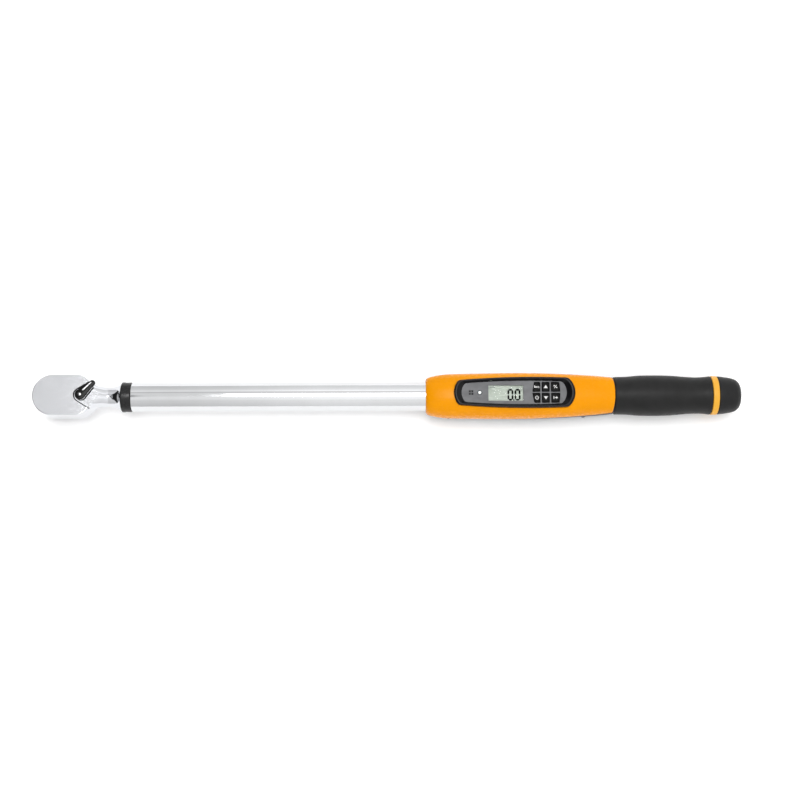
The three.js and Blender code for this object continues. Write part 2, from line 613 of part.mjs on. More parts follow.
/** Foil gauge on one side of the beam: side is +1 or -1. */
function makeGauge(side) {
  const { x0, x1, halfHeight, gap, thickness } = GAUGE;
  const near = side * (BEAM.half + gap);
  const far = side * (BEAM.half + gap + thickness);
  return block(x0, x1, Math.min(near, far), Math.max(near, far), -halfHeight, halfHeight);
}

const cablePath = (points) => new THREE.CatmullRomCurve3(points.map((p) => new THREE.Vector3(...p)));

fit("front_collar", makeCollar(), BLACK_PLASTIC);
fit("steel_tube", makeTube(), CHROME);
fit("beam_bush", makeBeamBush(), BRASS);
fit("strain_gauge_left", makeGauge(1), FOIL);
fit("strain_gauge_right", makeGauge(-1), FOIL);
fit("gauge_cable", wire(cablePath(GAUGE_CABLE_PATH), CABLE.radius, 16), BLACK_PLASTIC);

// ---------------------------------------------------------------- housing

/** Oval across the housing, flatter on top than below; inset thins it for the inner face. */
function housingSection([x, halfWidth, top, bottom], inset = 0) {
  const count = 24;
  const bow = (value, power) => Math.sign(value) * Math.abs(value) ** (2 / power);
  return Array.from({ length: count }, (_, i) => {
    const angle = (2 * Math.PI * i) / count;
    const up = Math.sin(angle) >= 0;
    const power = up ? HOUSING.topPower : HOUSING.bottomPower;
    const height = up ? top - inset : -bottom - inset;
    const y = (halfWidth - inset) * bow(Math.cos(angle), power);
    return new THREE.Vector3(x, y, height * bow(Math.sin(angle), power));
  });
}

/** Section at any x, between the two listed ones on each side of it. */
function housingAt(x) {
  const after = Math.max(1, HOUSING_SECTIONS.findIndex((section) => section[0] >= x));
  const [a, b] = [HOUSING_SECTIONS[after - 1], HOUSING_SECTIONS[after]];
  const part = (x - a[0]) / (b[0] - a[0]);
  return a.map((value, i) => THREE.MathUtils.lerp(value, b[i], part));
}

/** Hollow housing in one piece, with its screw bosses, before it is parted. */
function wholeHousing() {
  const outer = loft(HOUSING_SECTIONS.map((section) => housingSection(section)));
  const between = HOUSING_SECTIONS.filter(([x]) => x > HOUSING.front && x < HOUSING.rear);
  const innerSections = [housingAt(HOUSING.front), ...between, housingAt(HOUSING.rear)];
  const inner = loft(innerSections.map((section) => housingSection(section, HOUSING.wall)));
  const tubeHole = rodX(HOUSING.front - THROUGH, HOUSING.rear + THROUGH, HOUSING.tubeHole);
  let body = outer.subtract(inner);
  for (const { x, y } of SCREW_PLACES) {
    body = body.add(rodZ(x, y, -THROUGH, BOSS.top, BOSS.radius).intersect(outer));
  }
  for (const { x, y, seat } of SCREW_PLACES) {
    body = body
      .subtract(rodZ(x, y, -THROUGH, SCREW.top + 0.6, BOSS.screwHole))
      .subtract(rodZ(x, y, -THROUGH, seat, BOSS.counterbore));
  }
  return body.subtract(tubeHole);
}

/** Everything above the sloping parting plane, or below it. */
function partingSide(above) {
  const { front, frontZ, rear, rearZ, gap } = PARTING;
  const shift = above ? gap / 2 : -gap / 2;
  const edge = above ? THROUGH : -THROUGH;
  const side = [[front, frontZ + shift], [rear, rearZ + shift], [rear, edge], [front, edge]];
  const outline = above ? side : side.reverse();
  const near = outline.map(([x, z]) => new THREE.Vector3(x, THROUGH, z));
  const far = outline.map(([x, z]) => new THREE.Vector3(x, -THROUGH, z));
  return loft([near, far]);
}

function makeScrew({ x, y, seat }) {
  const headBottom = seat - SCREW.headHeight;
  const body = turnedZ([
    [0, headBottom], [SCREW.headRadius, headBottom], [SCREW.headRadius, seat - FIT / 2],
    [SCREW.radius, seat - FIT / 2], [SCREW.radius, SCREW.top - 1], [0, SCREW.top],
  ], SMALL_ROUND);
  const slotHalf = SCREW.slot / 2;
  const slots = block(-2, 2, -slotHalf, slotHalf, headBottom - 1, headBottom + 1)
    .add(block(-slotHalf, slotHalf, -2, 2, headBottom - 1, headBottom + 1));
  return body.subtract(slots).translate([x, y, 0]);
}

const housing = wholeHousing();
const openingOutline = barrel(BEZEL_OUTLINE, OPENING_GAP);
const bezelOpening = prism(openingOutline, BOARD.bottom, openingOutline, THROUGH);
fit("upper_housing", housing.intersect(partingSide(true)).subtract(bezelOpening), ORANGE);
fit("lower_housing", housing.intersect(partingSide(false)), BLACK_PLASTIC);
SCREW_PLACES.forEach((place) => fit(place.name, makeScrew(place), STEEL));

// ---------------------------------------------------------------- display and keys

function makeBezel() {
  const body = prism(barrel(BEZEL_OUTLINE), BEZEL.bottom, barrel(BEZEL_OUTLINE), BEZEL.top);
  const funnel = prism(barrel(PANEL_OUTLINE), BEZEL.lip - 0.5, barrel(RIM_OUTLINE), BEZEL.top + 0.01);
  const seatOutline = barrel(PANEL_OUTLINE, PANEL.ledge + OPENING_GAP);
  const seat = prism(seatOutline, 0, seatOutline, BEZEL.lip);
  return body.subtract(funnel).subtract(seat);
}

/** Key outline in a column and row; grow widens it for its hole in the panel. */
function keyOutline(column, row, grow = 0) {
  const { x0, x1, slantLeft, slantRight } = KEY_COLUMNS[column];
  const [near, far] = [KEY.y0 - grow, KEY.y1 + grow];
  const [left, right] = [x0 - grow, x1 + grow];
  const upper = [[left, near], [right, near], [right - slantRight, far], [left + slantLeft, far]];
  const corners = row === 0 ? upper : upper.map(([x, y]) => [x, -y]).reverse();
  return roundedPolygon(corners, KEY.corner);
}

function makePanel() {
  const edge = barrel(PANEL_OUTLINE, PANEL.ledge);
  const { x0, x1, y0, y1 } = WINDOW;
  let body = prism(edge, PANEL.bottom, edge, PANEL.top)
    .subtract(block(x0, x1, y0, y1, 0, THROUGH))
    .subtract(rodZ(LIGHT.x, 0, 0, THROUGH, LIGHT.hole));
  const hole = (BUZZER.grilleSize - BUZZER.bar) / 2;
  for (const sx of [-1, 1]) {
    for (const sy of [-1, 1]) {
      const cx = BUZZER.x + (sx * (hole + BUZZER.bar)) / 2;
      const cy = (sy * (hole + BUZZER.bar)) / 2;
      body = body.subtract(block(cx - hole / 2, cx + hole / 2, cy - hole / 2, cy + hole / 2, 0, THROUGH));
    }
  }
  KEY_NAMES.forEach((names, row) => names.forEach((_, column) => {
    body = body.subtract(plate(keyOutline(column, row, KEY.holeGrow), 0, THROUGH));
  }));
  return body;
}

/** Flat piece behind the display window, wider than the window by its margin. */
const behindWindow = ({ margin, bottom, top }) =>
  block(WINDOW.x0 - margin, WINDOW.x1 + margin, WINDOW.y0 - margin, WINDOW.y1 + margin, bottom, top);

/** Flat sheet that lies across the centre line. */
const centredSheet = ({ x0, x1, halfWidth, bottom, top }) => block(x0, x1, -halfWidth, halfWidth, bottom, top);

const makeKey = (column, row) =>
  plate(keyOutline(column, row, -KEY.bevel), KEY.bottom, KEY.top, KEY.bevel);

function makeBuzzer() {
  const { x, radius, bottom, top, wellDepth } = BUZZER;
  return rodZ(x, 0, bottom, top, radius).subtract(rodZ(x, 0, top - wellDepth, top + 1, radius / 3));
}

fit("bezel", makeBezel(), BLACK_GLOSS);
fit("display_panel", makePanel(), PANEL_GREY);
fit("display_lens", behindWindow(LENS), GLASS);
fit("lcd_module", behindWindow(LCD), LCD_GREEN);
fit("keypad_mat", centredSheet(KEY_MAT), BLACK_RUBBER);
KEY_NAMES.forEach((names, row) => names.forEach((name, column) => {
  fit(name, makeKey(column, row), BLACK_PLASTIC);
}));
fit("circuit_board", centredSheet(BOARD), BOARD_GREEN);
fit("status_light", rodZ(LIGHT.x, 0, LIGHT.bottom, LIGHT.top, LIGHT.radius), WHITE_LIGHT);
fit("buzzer", makeBuzzer(), BLACK_PLASTIC);

// ---------------------------------------------------------------- handle and battery

function makeGrip() {
  const [startX] = GRIP_PROFILE[0];
  const [endX] = GRIP_PROFILE.at(-1);
  return turnedX([[startX, GRIP_BORE], ...GRIP_PROFILE, [endX, GRIP_BORE], [startX, GRIP_BORE]]);
}

function makeTrimRing() {
  const { start, end, bore, radius, edge } = TRIM;
  return turnedX([
    [start, bore], [start, radius - edge], [start + edge, radius], [end - edge, radius],
    [end, radius - edge], [end, bore], [start, bore],
  ]);
}

function makeSleeve() {
  const { start, end, radius, bore, floor } = SLEEVE;
  const leadHole = rodX(start - 1, start + floor + 1, CABLE.radius + 0.5, SMALL_ROUND);
  return turnedX([
    [start, 0], [start, radius], [end, radius], [end, bore], [start + floor, bore], [start + floor, 0],
  ]).subtract(leadHole);
}

function makeContact() {
  const { x, radius, thickness, bossRadius, bossLength } = CONTACT;
  return turnedX([
    [x, 0], [x, radius], [x + thickness, radius], [x + thickness, bossRadius],
    [x + thickness + bossLength, bossRadius], [x + thickness + bossLength, 0],
  ], SMALL_ROUND);
}

/** Dry cell with its small positive end towards the head. */
function makeCell(start) {
  const { radius, bodyLength, tipLength, tipRadius } = CELL;
  const shoulder = start + tipLength;
  return turnedX([
    [start, 0], [start, tipRadius], [shoulder, tipRadius], [shoulder, radius],
    [start + bodyLength, radius], [start + bodyLength, 0],
  ], SMALL_ROUND + 8);
}

const makeCap = () => turnedX([
  [CAP.recessFloor, 0], [CAP.recessFloor, CAP.recessRadius], [CAP.spigotStart, CAP.recessRadius],
  [CAP.spigotStart, CAP.spigotRadius], ...CAP_PROFILE, [CAP_PROFILE.at(-1)[0], 0],
]);

function makeCapSpring() {
  const { start, end, wide, narrow, wire: radius, turns, steps } = CAP_SPRING;
  return wire(new Coil(start, end, narrow, wide, turns), radius, steps);
}

function makeSeal() {
  const ring = new THREE.TorusGeometry(SEAL.ringRadius, SEAL.sectionRadius, WIRE_SIDES, ROUND);
  return solid(ring.rotateY(Math.PI / 2).translate(SEAL.x, 0, 0));
}

fit("grip", makeGrip(), BLACK_RUBBER);
fit("trim_ring", makeTrimRing(), RING_ORANGE);
fit("end_insert", ringX(INSERT.start, INSERT.end, INSERT.bore, INSERT.radius), STEEL);
fit("battery_sleeve", makeSleeve(), BLACK_PLASTIC);
fit("battery_contact", makeContact(), BRASS);
fit("battery_lead", wire(cablePath(BATTERY_LEAD_PATH), CABLE.radius, 10), BLACK_PLASTIC);
fit("battery_cell_front", makeCell(CELL.front), CELL_SILVER);
fit("battery_cell_rear", makeCell(CELL.rear), CELL_SILVER);
fit("cap_spring", makeCapSpring(), SPRING_STEEL);
fit("cap_seal", makeSeal(), BLACK_RUBBER);
fit("battery_cap", makeCap(), BLACK_PLASTIC);

export default wrench;
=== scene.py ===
"""Looks of the electronic torque wrench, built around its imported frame.

Metres, +X from the ratchet head to the battery cap, +Z up on the display side. Shapes are written in
millimetres from the tool's long axis and turned into metres once, in place().
"""
import contextlib
import json
import math

import bmesh
import bpy
import numpy as np
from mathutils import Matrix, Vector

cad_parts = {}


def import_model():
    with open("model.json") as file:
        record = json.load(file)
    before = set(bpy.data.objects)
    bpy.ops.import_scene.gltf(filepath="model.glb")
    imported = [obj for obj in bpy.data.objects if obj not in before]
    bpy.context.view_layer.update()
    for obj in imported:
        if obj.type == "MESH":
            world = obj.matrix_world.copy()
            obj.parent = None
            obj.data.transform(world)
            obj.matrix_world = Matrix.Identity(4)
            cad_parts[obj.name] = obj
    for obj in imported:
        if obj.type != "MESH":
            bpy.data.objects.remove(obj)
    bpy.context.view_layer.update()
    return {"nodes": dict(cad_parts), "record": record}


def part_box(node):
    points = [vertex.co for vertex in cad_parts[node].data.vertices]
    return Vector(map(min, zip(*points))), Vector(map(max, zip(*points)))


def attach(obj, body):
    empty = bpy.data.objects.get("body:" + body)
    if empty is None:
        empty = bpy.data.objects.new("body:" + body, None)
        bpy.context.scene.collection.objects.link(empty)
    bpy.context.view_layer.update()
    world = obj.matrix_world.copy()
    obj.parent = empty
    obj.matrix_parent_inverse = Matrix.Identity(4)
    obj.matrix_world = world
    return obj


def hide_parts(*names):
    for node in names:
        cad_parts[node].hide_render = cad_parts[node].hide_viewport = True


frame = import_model()

MM = 0.001


def box_mm(node):
    """Lowest and highest corner of a CAD node, in millimetres."""
    low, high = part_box(node)
    return np.array(low) / MM, np.array(high) / MM


tube_low, tube_high = box_mm("steel_tube")
AXIS_Z = (tube_low[2] + tube_high[2]) / 2
FINE = 128
SHARP = math.radians(32)
BODY = "wrench_body"

# ---- camera, floor and light

VIEW_CENTRE = (0.3170, -0.0033, 0.0243)
VIEW_DISTANCE = 1.294
VIEW_TILT = math.radians(10.3)
VIEW_ROLL = math.radians(0.19)
LENS = 63.0
SENSOR = 36.0


def make_camera():
    """Camera almost straight above, leaning a little to the near side."""
    data = bpy.data.cameras.new("camera")
    data.lens = LENS
    data.sensor_width = SENSOR
    camera = bpy.data.objects.new("camera", data)
    x, y, z = VIEW_CENTRE
    camera.location = (
        x, y - VIEW_DISTANCE * math.sin(VIEW_TILT), z + VIEW_DISTANCE * math.cos(VIEW_TILT))
    camera.rotation_euler = (VIEW_TILT, 0, -VIEW_ROLL)
    bpy.context.collection.objects.link(camera)
    bpy.context.scene.camera = camera


FLOOR_HALF = 4.0
FLOOR_SHADE = 0.95
FLOOR_GLOW = 0.14


def make_floor():
    """Pale floor under the tool, as one large square lit faintly from below."""
    half = FLOOR_HALF
    mesh = bpy.data.meshes.new("floor")
    corners = [(-half, -half, 0), (half, -half, 0), (half, half, 0), (-half, half, 0)]
    mesh.from_pydata(corners, [], [(0, 1, 2, 3)])
    floor = bpy.data.objects.new("floor", mesh)
    bpy.context.collection.objects.link(floor)
    look = bpy.data.materials.new("floor_paper")
    look.use_nodes = True
    shader = look.node_tree.nodes["Principled BSDF"]
    shader.inputs["Base Color"].default_value = (FLOOR_SHADE, FLOOR_SHADE, FLOOR_SHADE, 1)
    shader.inputs["Roughness"].default_value = 0.9
    shader.inputs["Specular IOR Level"].default_value = 0.1
    shader.inputs["Emission Color"].default_value = (1, 1, 1, 1)
    shader.inputs["Emission Strength"].default_value = FLOOR_GLOW
    mesh.materials.append(look)


# Brightness of the studio's walls, by the angle from straight up towards the far side, in degrees.
STUDIO_BANDS = [
    (-90, 0.84), (-79, 0.88), (-61, 0.94), (-52, 0.99), (-44, 0.99), (-35, 1.06), (-27, 1.18), (-19, 1.22),
    (-11, 1.24), (-3, 1.12), (4, 1.07), (14, 1.07), (20, 1.1), (24, 0.92), (27.5, 0.82), (32, 0.86),
    (36, 1.26),
    (41, 1.24), (47, 1.12), (57, 0.98), (67, 0.92), (90, 0.84),
]
STUDIO_LEVEL = 1.30
# The walls fade towards the head: level straight above, its change with x, and its limits.
SLOPE = {"above": 1.17, "rate": 1.6, "least": 0.8, "most": 1.03}
# Each edge is where it starts and ends: near and far in degrees, head and cap as the share of a direction
# towards the head.
PANEL = {"glow": 9.0, "near": (-8, -5), "far": (13, 16), "head": (0.186, 0.196), "cap": (-0.16, -0.10)}
# The dark opening is a wedge that widens towards the horizon and is paler beyond its "low" edge.
OPENING = {"head": (0.28, 0.31), "tip": 0.13, "edge": (0.0, 0.05), "low": (0.86, 0.93),
        "depth": 0.98, "paler": 0.6}
# A narrower bright wedge inside the opening.
GLINT = {"tip": 0.45, "spread": 2.2, "edge": (0.0, 0.04), "end": (0.60, 0.63), "share": 0.8}


def make_studio():
    """Soft studio: walls in bands, a bright panel overhead that ends before the head, and a dark opening low
    down on the head's side."""
    world = bpy.data.worlds.new("studio")
    bpy.context.scene.world = world
    world.use_nodes = True
    tree = world.node_tree
    nodes, links = tree.nodes, tree.links
    nodes.clear()
    output = nodes.new("ShaderNodeOutputWorld")
    sky = nodes.new("ShaderNodeBackground")
    where = nodes.new("ShaderNodeTexCoord")
    axes = nodes.new("ShaderNodeSeparateXYZ")
    links.new(where.outputs["Generated"], axes.inputs[0])

    def maths(kind, *values):
        node = nodes.new("ShaderNodeMath")
        node.operation = kind
        for slot, value in zip(node.inputs, values):
            if isinstance(value, (int, float)):
                slot.default_value = value
            else:
                links.new(value, slot)
        return node.outputs[0]

    def times(*values):
        result = values[0]
        for value in values[1:]:
            result = maths("MULTIPLY", result, value)
        return result

    def smooth(value, start, end):
        node = nodes.new("ShaderNodeMapRange")
        node.interpolation_type = "SMOOTHSTEP"
        node.inputs["From Min"].default_value = start
        node.inputs["From Max"].default_value = end
        links.new(value, node.inputs["Value"])
        return node.outputs["Result"]

    def before(value, start, end):
        return maths("SUBTRACT", 1.0, smooth(value, start, end))

    x, y, z = axes.outputs
    angle = maths("ARCTAN2", y, z)
    across = maths("DIVIDE", maths("ADD", angle, math.pi / 2), math.pi)
    ramp = nodes.new("ShaderNodeValToRGB")
    stops = ramp.color_ramp.elements
    top = max(level for _, level in STUDIO_BANDS)
    last = len(STUDIO_BANDS) - 1
    for i, (degrees, level) in enumerate(STUDIO_BANDS):
        position = (degrees + 90) / 180
        stop = stops[-1] if i == last else (stops.new(position) if i else stops[0])
        stop.position = position
        stop.color = (level / top,) * 3 + (1,)
    links.new(across, ramp.inputs[0])
    walls = maths("MULTIPLY", ramp.outputs["Color"], top)

    head_side = maths("MULTIPLY", x, -1.0)
    sideways = maths("ABSOLUTE", y)
    panel_along = times(before(head_side, *PANEL["head"]), smooth(head_side, *PANEL["cap"]))
    near, far = ([math.radians(degrees) for degrees in PANEL[edge]] for edge in ("near", "far"))
    panel_across = times(smooth(angle, *near), before(angle, *far))
    panel = times(times(panel_along, panel_across), PANEL["glow"])
    fade = maths("ADD", SLOPE["above"], maths("MULTIPLY", x, SLOPE["rate"]))
    slope = maths("MINIMUM", SLOPE["most"], maths("MAXIMUM", SLOPE["least"], fade))

    glint_spread = times(maths("SUBTRACT", head_side, GLINT["tip"]), GLINT["spread"])
    glint = smooth(maths("SUBTRACT", glint_spread, sideways), *GLINT["edge"])
    glint = times(glint, before(head_side, *GLINT["end"]))
    wedge = maths("SUBTRACT", maths("SUBTRACT", head_side, OPENING["tip"]), sideways)
    opening = times(smooth(head_side, *OPENING["head"]), smooth(wedge, *OPENING["edge"]))
    opening = times(opening, maths("SUBTRACT", 1.0, times(glint, GLINT["share"])))
    paler = times(smooth(head_side, *OPENING["low"]), OPENING["paler"])
    opening = times(opening, maths("SUBTRACT", OPENING["depth"], paler))
    shown = times(maths("SUBTRACT", 1.0, opening), STUDIO_LEVEL)
    light = times(times(maths("ADD", walls, panel), slope), shown)
    links.new(light, sky.inputs["Strength"])
    links.new(sky.outputs[0], output.inputs[0])


make_camera()
make_floor()
make_studio()
bpy.context.scene.view_settings.view_transform = "Standard"

# ---- finishes


class Look:
    """A material with its nodes, and short ways to add detail to it."""

    def __init__(self, name, metallic=0.0, specular=0.5):
        self.material = bpy.data.materials.new(name)
        self.material.use_nodes = True
        self.nodes = self.material.node_tree.nodes
        self.links = self.material.node_tree.links
        self.shader = self.nodes["Principled BSDF"]
        self.set("Metallic", metallic)
        self.set("Specular IOR Level", specular)
        self.where = self.nodes.new("ShaderNodeTexCoord").outputs["Object"]
        self.height = None

    def set(self, socket, value):
        self.shader.inputs[socket].default_value = value

    def noise(self, scale, detail=3.0, stretch=(1, 1, 1)):
        """Noise over the piece; scale is features a metre, stretch makes streaks."""
        turn = self.nodes.new("ShaderNodeMapping")
        turn.inputs["Scale"].default_value = stretch
        self.links.new(self.where, turn.inputs["Vector"])
        texture = self.nodes.new("ShaderNodeTexNoise")
        texture.inputs["Scale"].default_value = scale
        texture.inputs["Detail"].default_value = detail
        self.links.new(turn.outputs[0], texture.inputs["Vector"])
        return texture.outputs["Fac"]

    def ramp(self, value, low, high, start=0.3, end=0.7):
        """Value spread between two numbers or colours, from start to end of the value."""
        node = self.nodes.new("ShaderNodeValToRGB")
        first, last = node.color_ramp.elements
        first.position, last.position = start, end
        first.color = (low, low, low, 1) if isinstance(low, float) else (*low, 1)
        last.color = (high, high, high, 1) if isinstance(high, float) else (*high, 1)
        self.links.new(value, node.inputs[0])
        return node.outputs["Color"]

    def mottle(self, low, high, scale, detail=3.0, stretch=(1, 1, 1)):
        """Base colour that drifts between two near colours."""
        colour = self.ramp(self.noise(scale, detail, stretch), low, high)
        self.links.new(colour, self.shader.inputs["Base Color"])

    def uneven(self, low, high, scale, stretch=(1, 1, 1)):
        """Roughness that varies, as from handling."""
        roughness = self.ramp(self.noise(scale, 4.0, stretch), low, high)
        self.links.new(roughness, self.shader.inputs["Roughness"])

    def grain(self, scale, distance, strength=0.5, detail=2.0, stretch=(1, 1, 1)):
        """Fine relief; distance is its depth in metres. Calls add up."""
        bump = self.nodes.new("ShaderNodeBump")
        bump.inputs["Strength"].default_value = strength
        bump.inputs["Distance"].default_value = distance
        self.links.new(self.noise(scale, detail, stretch), bump.inputs["Height"])
        if self.height is not None:
            self.links.new(self.height, bump.inputs["Normal"])
        self.height = bump.outputs["Normal"]
        self.links.new(self.height, self.shader.inputs["Normal"])


def make_look(name, mottle, uneven, grains=(), metallic=0.0, specular=0.5):
    """Look from its colours, its roughness (a spread, or one number) and its grains."""
    look = Look(name, metallic, specular)
    look.mottle(*mottle)
    if isinstance(uneven, float):
        look.set("Roughness", uneven)
    else:
        look.uneven(*uneven)
    for grain in grains:
        look.grain(*grain)
    return look


def black_plastic_look(name="black_plastic", shade=0.010, roughness=(0.34, 0.48), specular=0.25):
    low, high = shade * 0.85, shade * 1.2
    mottle = ((low, low, shade * 0.9), (high, high, shade * 1.26), 90)
    return make_look(name, mottle, (*roughness, 300), [(2600, 0.000014, 0.6)], specular=specular)


def black_steel_look(name="lever_black", roughness=(0.16, 0.3)):
    mottle = (0.002, 0.004, 500)
    return make_look(name, mottle, (*roughness, 700), [(1400, 0.000008)], specular=0.12)


def window_look():
    look = Look("clear_window")
    look.set("Base Color", (1, 1, 1, 1))
    look.set("Transmission Weight", 1.0)
    look.set("IOR", 1.03)
    look.uneven(0.01, 0.03, 200)
    return look


def light_look():
    look = make_look("milky_light", ((0.87, 0.87, 0.84), (0.94, 0.94, 0.91), 900), 0.25)
    look.set("Subsurface Weight", 0.2)
    look.set("Subsurface Scale", 0.001)
    return look


def soft_rubber_look():
    mottle = ((0.012, 0.012, 0.013), (0.02, 0.02, 0.021), 300)
    return make_look("soft_rubber", mottle, (0.52, 0.7, 500), specular=0.3)


LOOKS = {
    "chrome": make_look(
        "chrome_plate", ((0.69, 0.697, 0.708), (0.712, 0.72, 0.733), 60), (0.03, 0.07, 240, (0.25, 1, 1)),
        [(90, 0.000006)], metallic=1.0),
    "head_chrome": make_look(
        "head_chrome", ((0.668, 0.676, 0.702), (0.696, 0.706, 0.73), 140), (0.05, 0.09, 380),
        [(700, 0.000005), (110, 0.00001)], metallic=1.0),
    "pin_steel": make_look(
        "polished_steel", ((0.68, 0.68, 0.70), (0.76, 0.76, 0.78), 400), (0.1, 0.2, 700), metallic=1.0),
    "steel": make_look(
        "machined_steel", ((0.42, 0.42, 0.44), (0.56, 0.56, 0.58), 220), (0.22, 0.42, 600, (1, 1, 6)),
        [(1500, 0.00001, 0.6, 2.0, (1, 1, 4))], metallic=1.0),
    "spring_steel": make_look(
        "spring_steel", ((0.25, 0.25, 0.27), (0.36, 0.36, 0.38), 300), (0.28, 0.45, 700), metallic=1.0),
    "brass": make_look("brass", ((0.55, 0.36, 0.13), (0.68, 0.48, 0.2), 260), (0.22, 0.42, 500),
        metallic=1.0),
    "black_steel": black_steel_look(),
    # Painted shade: a near-black finish for the faces of the real groove at the pocket's foot, standing in for
    # the shade that falls there.
    "groove_painted_shade": black_steel_look("groove_painted_shade", (0.4, 0.6)),
    # Painted highlight: the black lever's rib gets a light grey metal finish, so it shows as the bright line of a
    # highlight.
    "lever_rib": make_look(
        "rib_painted_highlight", ((0.42, 0.42, 0.43), (0.66, 0.66, 0.67), 700), (0.18, 0.32, 700), metallic=0.9),
    "orange_plastic": make_look(
        "orange_plastic", ((0.78, 0.28, 0.0003), (0.82, 0.30, 0.0005), 45), (0.2, 0.32, 260),
        [(3200, 0.000012)],
        specular=0.09),
    "trim_orange": make_look(
        "trim_orange", ((0.76, 0.38, 0.03), (0.80, 0.40, 0.042), 70), (0.3, 0.42, 300), [(3200, 0.00001)],
        specular=0.25),
    "black_plastic": black_plastic_look(),
    "collar_black": black_plastic_look("collar_black", 0.011, (0.2, 0.32)),
    "cap_black": black_plastic_look("cap_black", 0.011, (0.4, 0.55), 0.2),
    "bezel_black": make_look(
        "gloss_black", ((0.0045, 0.0045, 0.005), (0.008, 0.008, 0.009), 160), (0.17, 0.28, 420),
        [(900, 0.000006)],
        specular=0.15),
    "grip_rubber": make_look(
        "grip_rubber", (0.010, 0.014, 120), (0.4, 0.54, 240),
        [(1500, 0.00004, 0.7, 3), (5200, 0.000016)], specular=0.2),
    "key_rubber": soft_rubber_look(),
    "cable_black": soft_rubber_look(),
    "key_black": make_look(
        "key_black", (0.002, 0.004, 500), (0.26, 0.38, 800),
        [(5200, 0.00001, 0.6)], specular=0.05),
    "panel_grey": make_look(
        "panel_silver", ((0.12, 0.122, 0.127), (0.17, 0.173, 0.18), 150, 6, (0.6, 1, 1)),
        (0.26, 0.44, 420, (0.3, 1.4, 1)), [(2600, 0.00001, 0.5, 2.0, (0.2, 1, 1))], specular=0.15),
    "lcd_green": make_look("lcd_film", ((0.36, 0.415, 0.35), (0.39, 0.445, 0.38), 90), (0.22, 0.34, 300),
        specular=0.3),
    # Ink of the digits and signs, also used for the painted shadow strip along the LCD's far edge.
    "lcd_ink": make_look("lcd_ink", ((0.0015, 0.002, 0.0015), (0.003, 0.004, 0.003), 900), 0.5,
        specular=0.05),
    "display_glass": window_look(),
    "marks": make_look("white_marks", ((0.67, 0.67, 0.66), (0.73, 0.73, 0.72), 900), 0.5),
    "light_white": light_look(),
    "board_green": make_look("board_green", ((0.015, 0.10, 0.04), (0.03, 0.15, 0.06), 400), (0.3, 0.5, 600)),
    "gauge_foil": make_look("gauge_foil", ((0.4, 0.22, 0.07), (0.52, 0.3, 0.1), 700), 0.4),
    "cell_silver": make_look(
        "cell_jacket", ((0.4, 0.41, 0.43), (0.5, 0.51, 0.53), 160), (0.24, 0.4, 300), metallic=0.7),
}

# ---- surfaces


def place(points):
    """Millimetres from the tool's long axis to metres in the frame."""
    return (np.asarray(points, float) + (0, 0, AXIS_Z)) * MM


def quads(rows, columns, wrap_rows, wrap_columns):
    """Faces of a grid of points; a wrapped side joins its last row or column to its first."""
    r = np.arange(rows if wrap_rows else rows - 1)[:, None]
    c = np.arange(columns if wrap_columns else columns - 1)[None, :]
    down, right = (r + 1) % rows, (c + 1) % columns
    faces = np.stack([r * columns + c, down * columns + c, down * columns + right, r * columns + right], -1)
    return faces.reshape(-1, 4)


def surface(grid, wrap=(False, True), caps=(False, False), sides=False):
    """Points in metres and faces of a grid.

    caps close its first and last row, sides its first and last column.
    """
    rows, columns = grid.shape[:2]
    faces = quads(rows, columns, *wrap).tolist()
    if caps[0]:
        faces.append(list(range(columns)))
    if caps[1]:
        faces.append(list(range((rows - 1) * columns, rows * columns))[::-1])
    if sides:
        faces.append(list(range(0, rows * columns, columns)))
        faces.append(list(range(columns - 1, rows * columns, columns))[::-1])
    return place(grid.reshape(-1, 3)), faces


def joined(surfaces):
    """Several surfaces as one set of points and faces."""
    points, faces, start = [], [], 0
    for own_points, own_faces in surfaces:
        faces += [[start + corner for corner in face] for face in own_faces]
        points.append(own_points)
        start += len(own_points)
    return np.concatenate(points), faces


def piece(name, grid, look, slot, body=BODY, replaces=(), wrap=(False, True), caps=(False, False),
        sides=False, sharp=SHARP):
    """Finished piece from one grid of points in millimetres, rows by columns."""
    points, faces = surface(grid, wrap, caps, sides)
    return mesh_piece(name, points, faces, look, slot, body, replaces, sharp)


def finished(node, grid, look, slot, body=BODY, **more):
    """Finished piece that takes the place of one CAD node."""
    return piece(node + "_finished", grid, look, slot, body, replaces=[node], **more)


@contextlib.contextmanager
def edited(mesh):
    """The mesh opened for editing, and written back afterwards."""
    work = bmesh.new()
    work.from_mesh(mesh)
    yield work
    work.to_mesh(mesh)
    work.free()


def mesh_piece(name, points, faces, look, slot, body=BODY, replaces=(), sharp=SHARP):
    """Finished piece from points in metres: doubles merged, faces outwards, smooth with sharp edges kept."""
    mesh = bpy.data.meshes.new(name)
    mesh.from_pydata(points.tolist(), [], faces)
    with edited(mesh) as work:
        bmesh.ops.remove_doubles(work, verts=work.verts, dist=1e-7)
        bmesh.ops.dissolve_degenerate(work, edges=work.edges, dist=1e-7)
        bmesh.ops.recalc_face_normals(work, faces=work.faces)
    finish_mesh(mesh, sharp)
    thing = bpy.data.objects.new(name, mesh)
    bpy.context.collection.objects.link(thing)
    mesh.materials.append(LOOKS[look].material)
    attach(thing, body)
    if replaces:
        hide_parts(*replaces)
    return thing


def finish_mesh(mesh, sharp):
    """Smooth shading with edges over the sharp angle kept crisp."""
    mesh.polygons.foreach_set("use_smooth", np.ones(len(mesh.polygons), bool))
    mesh.set_sharp_from_angle(angle=sharp)


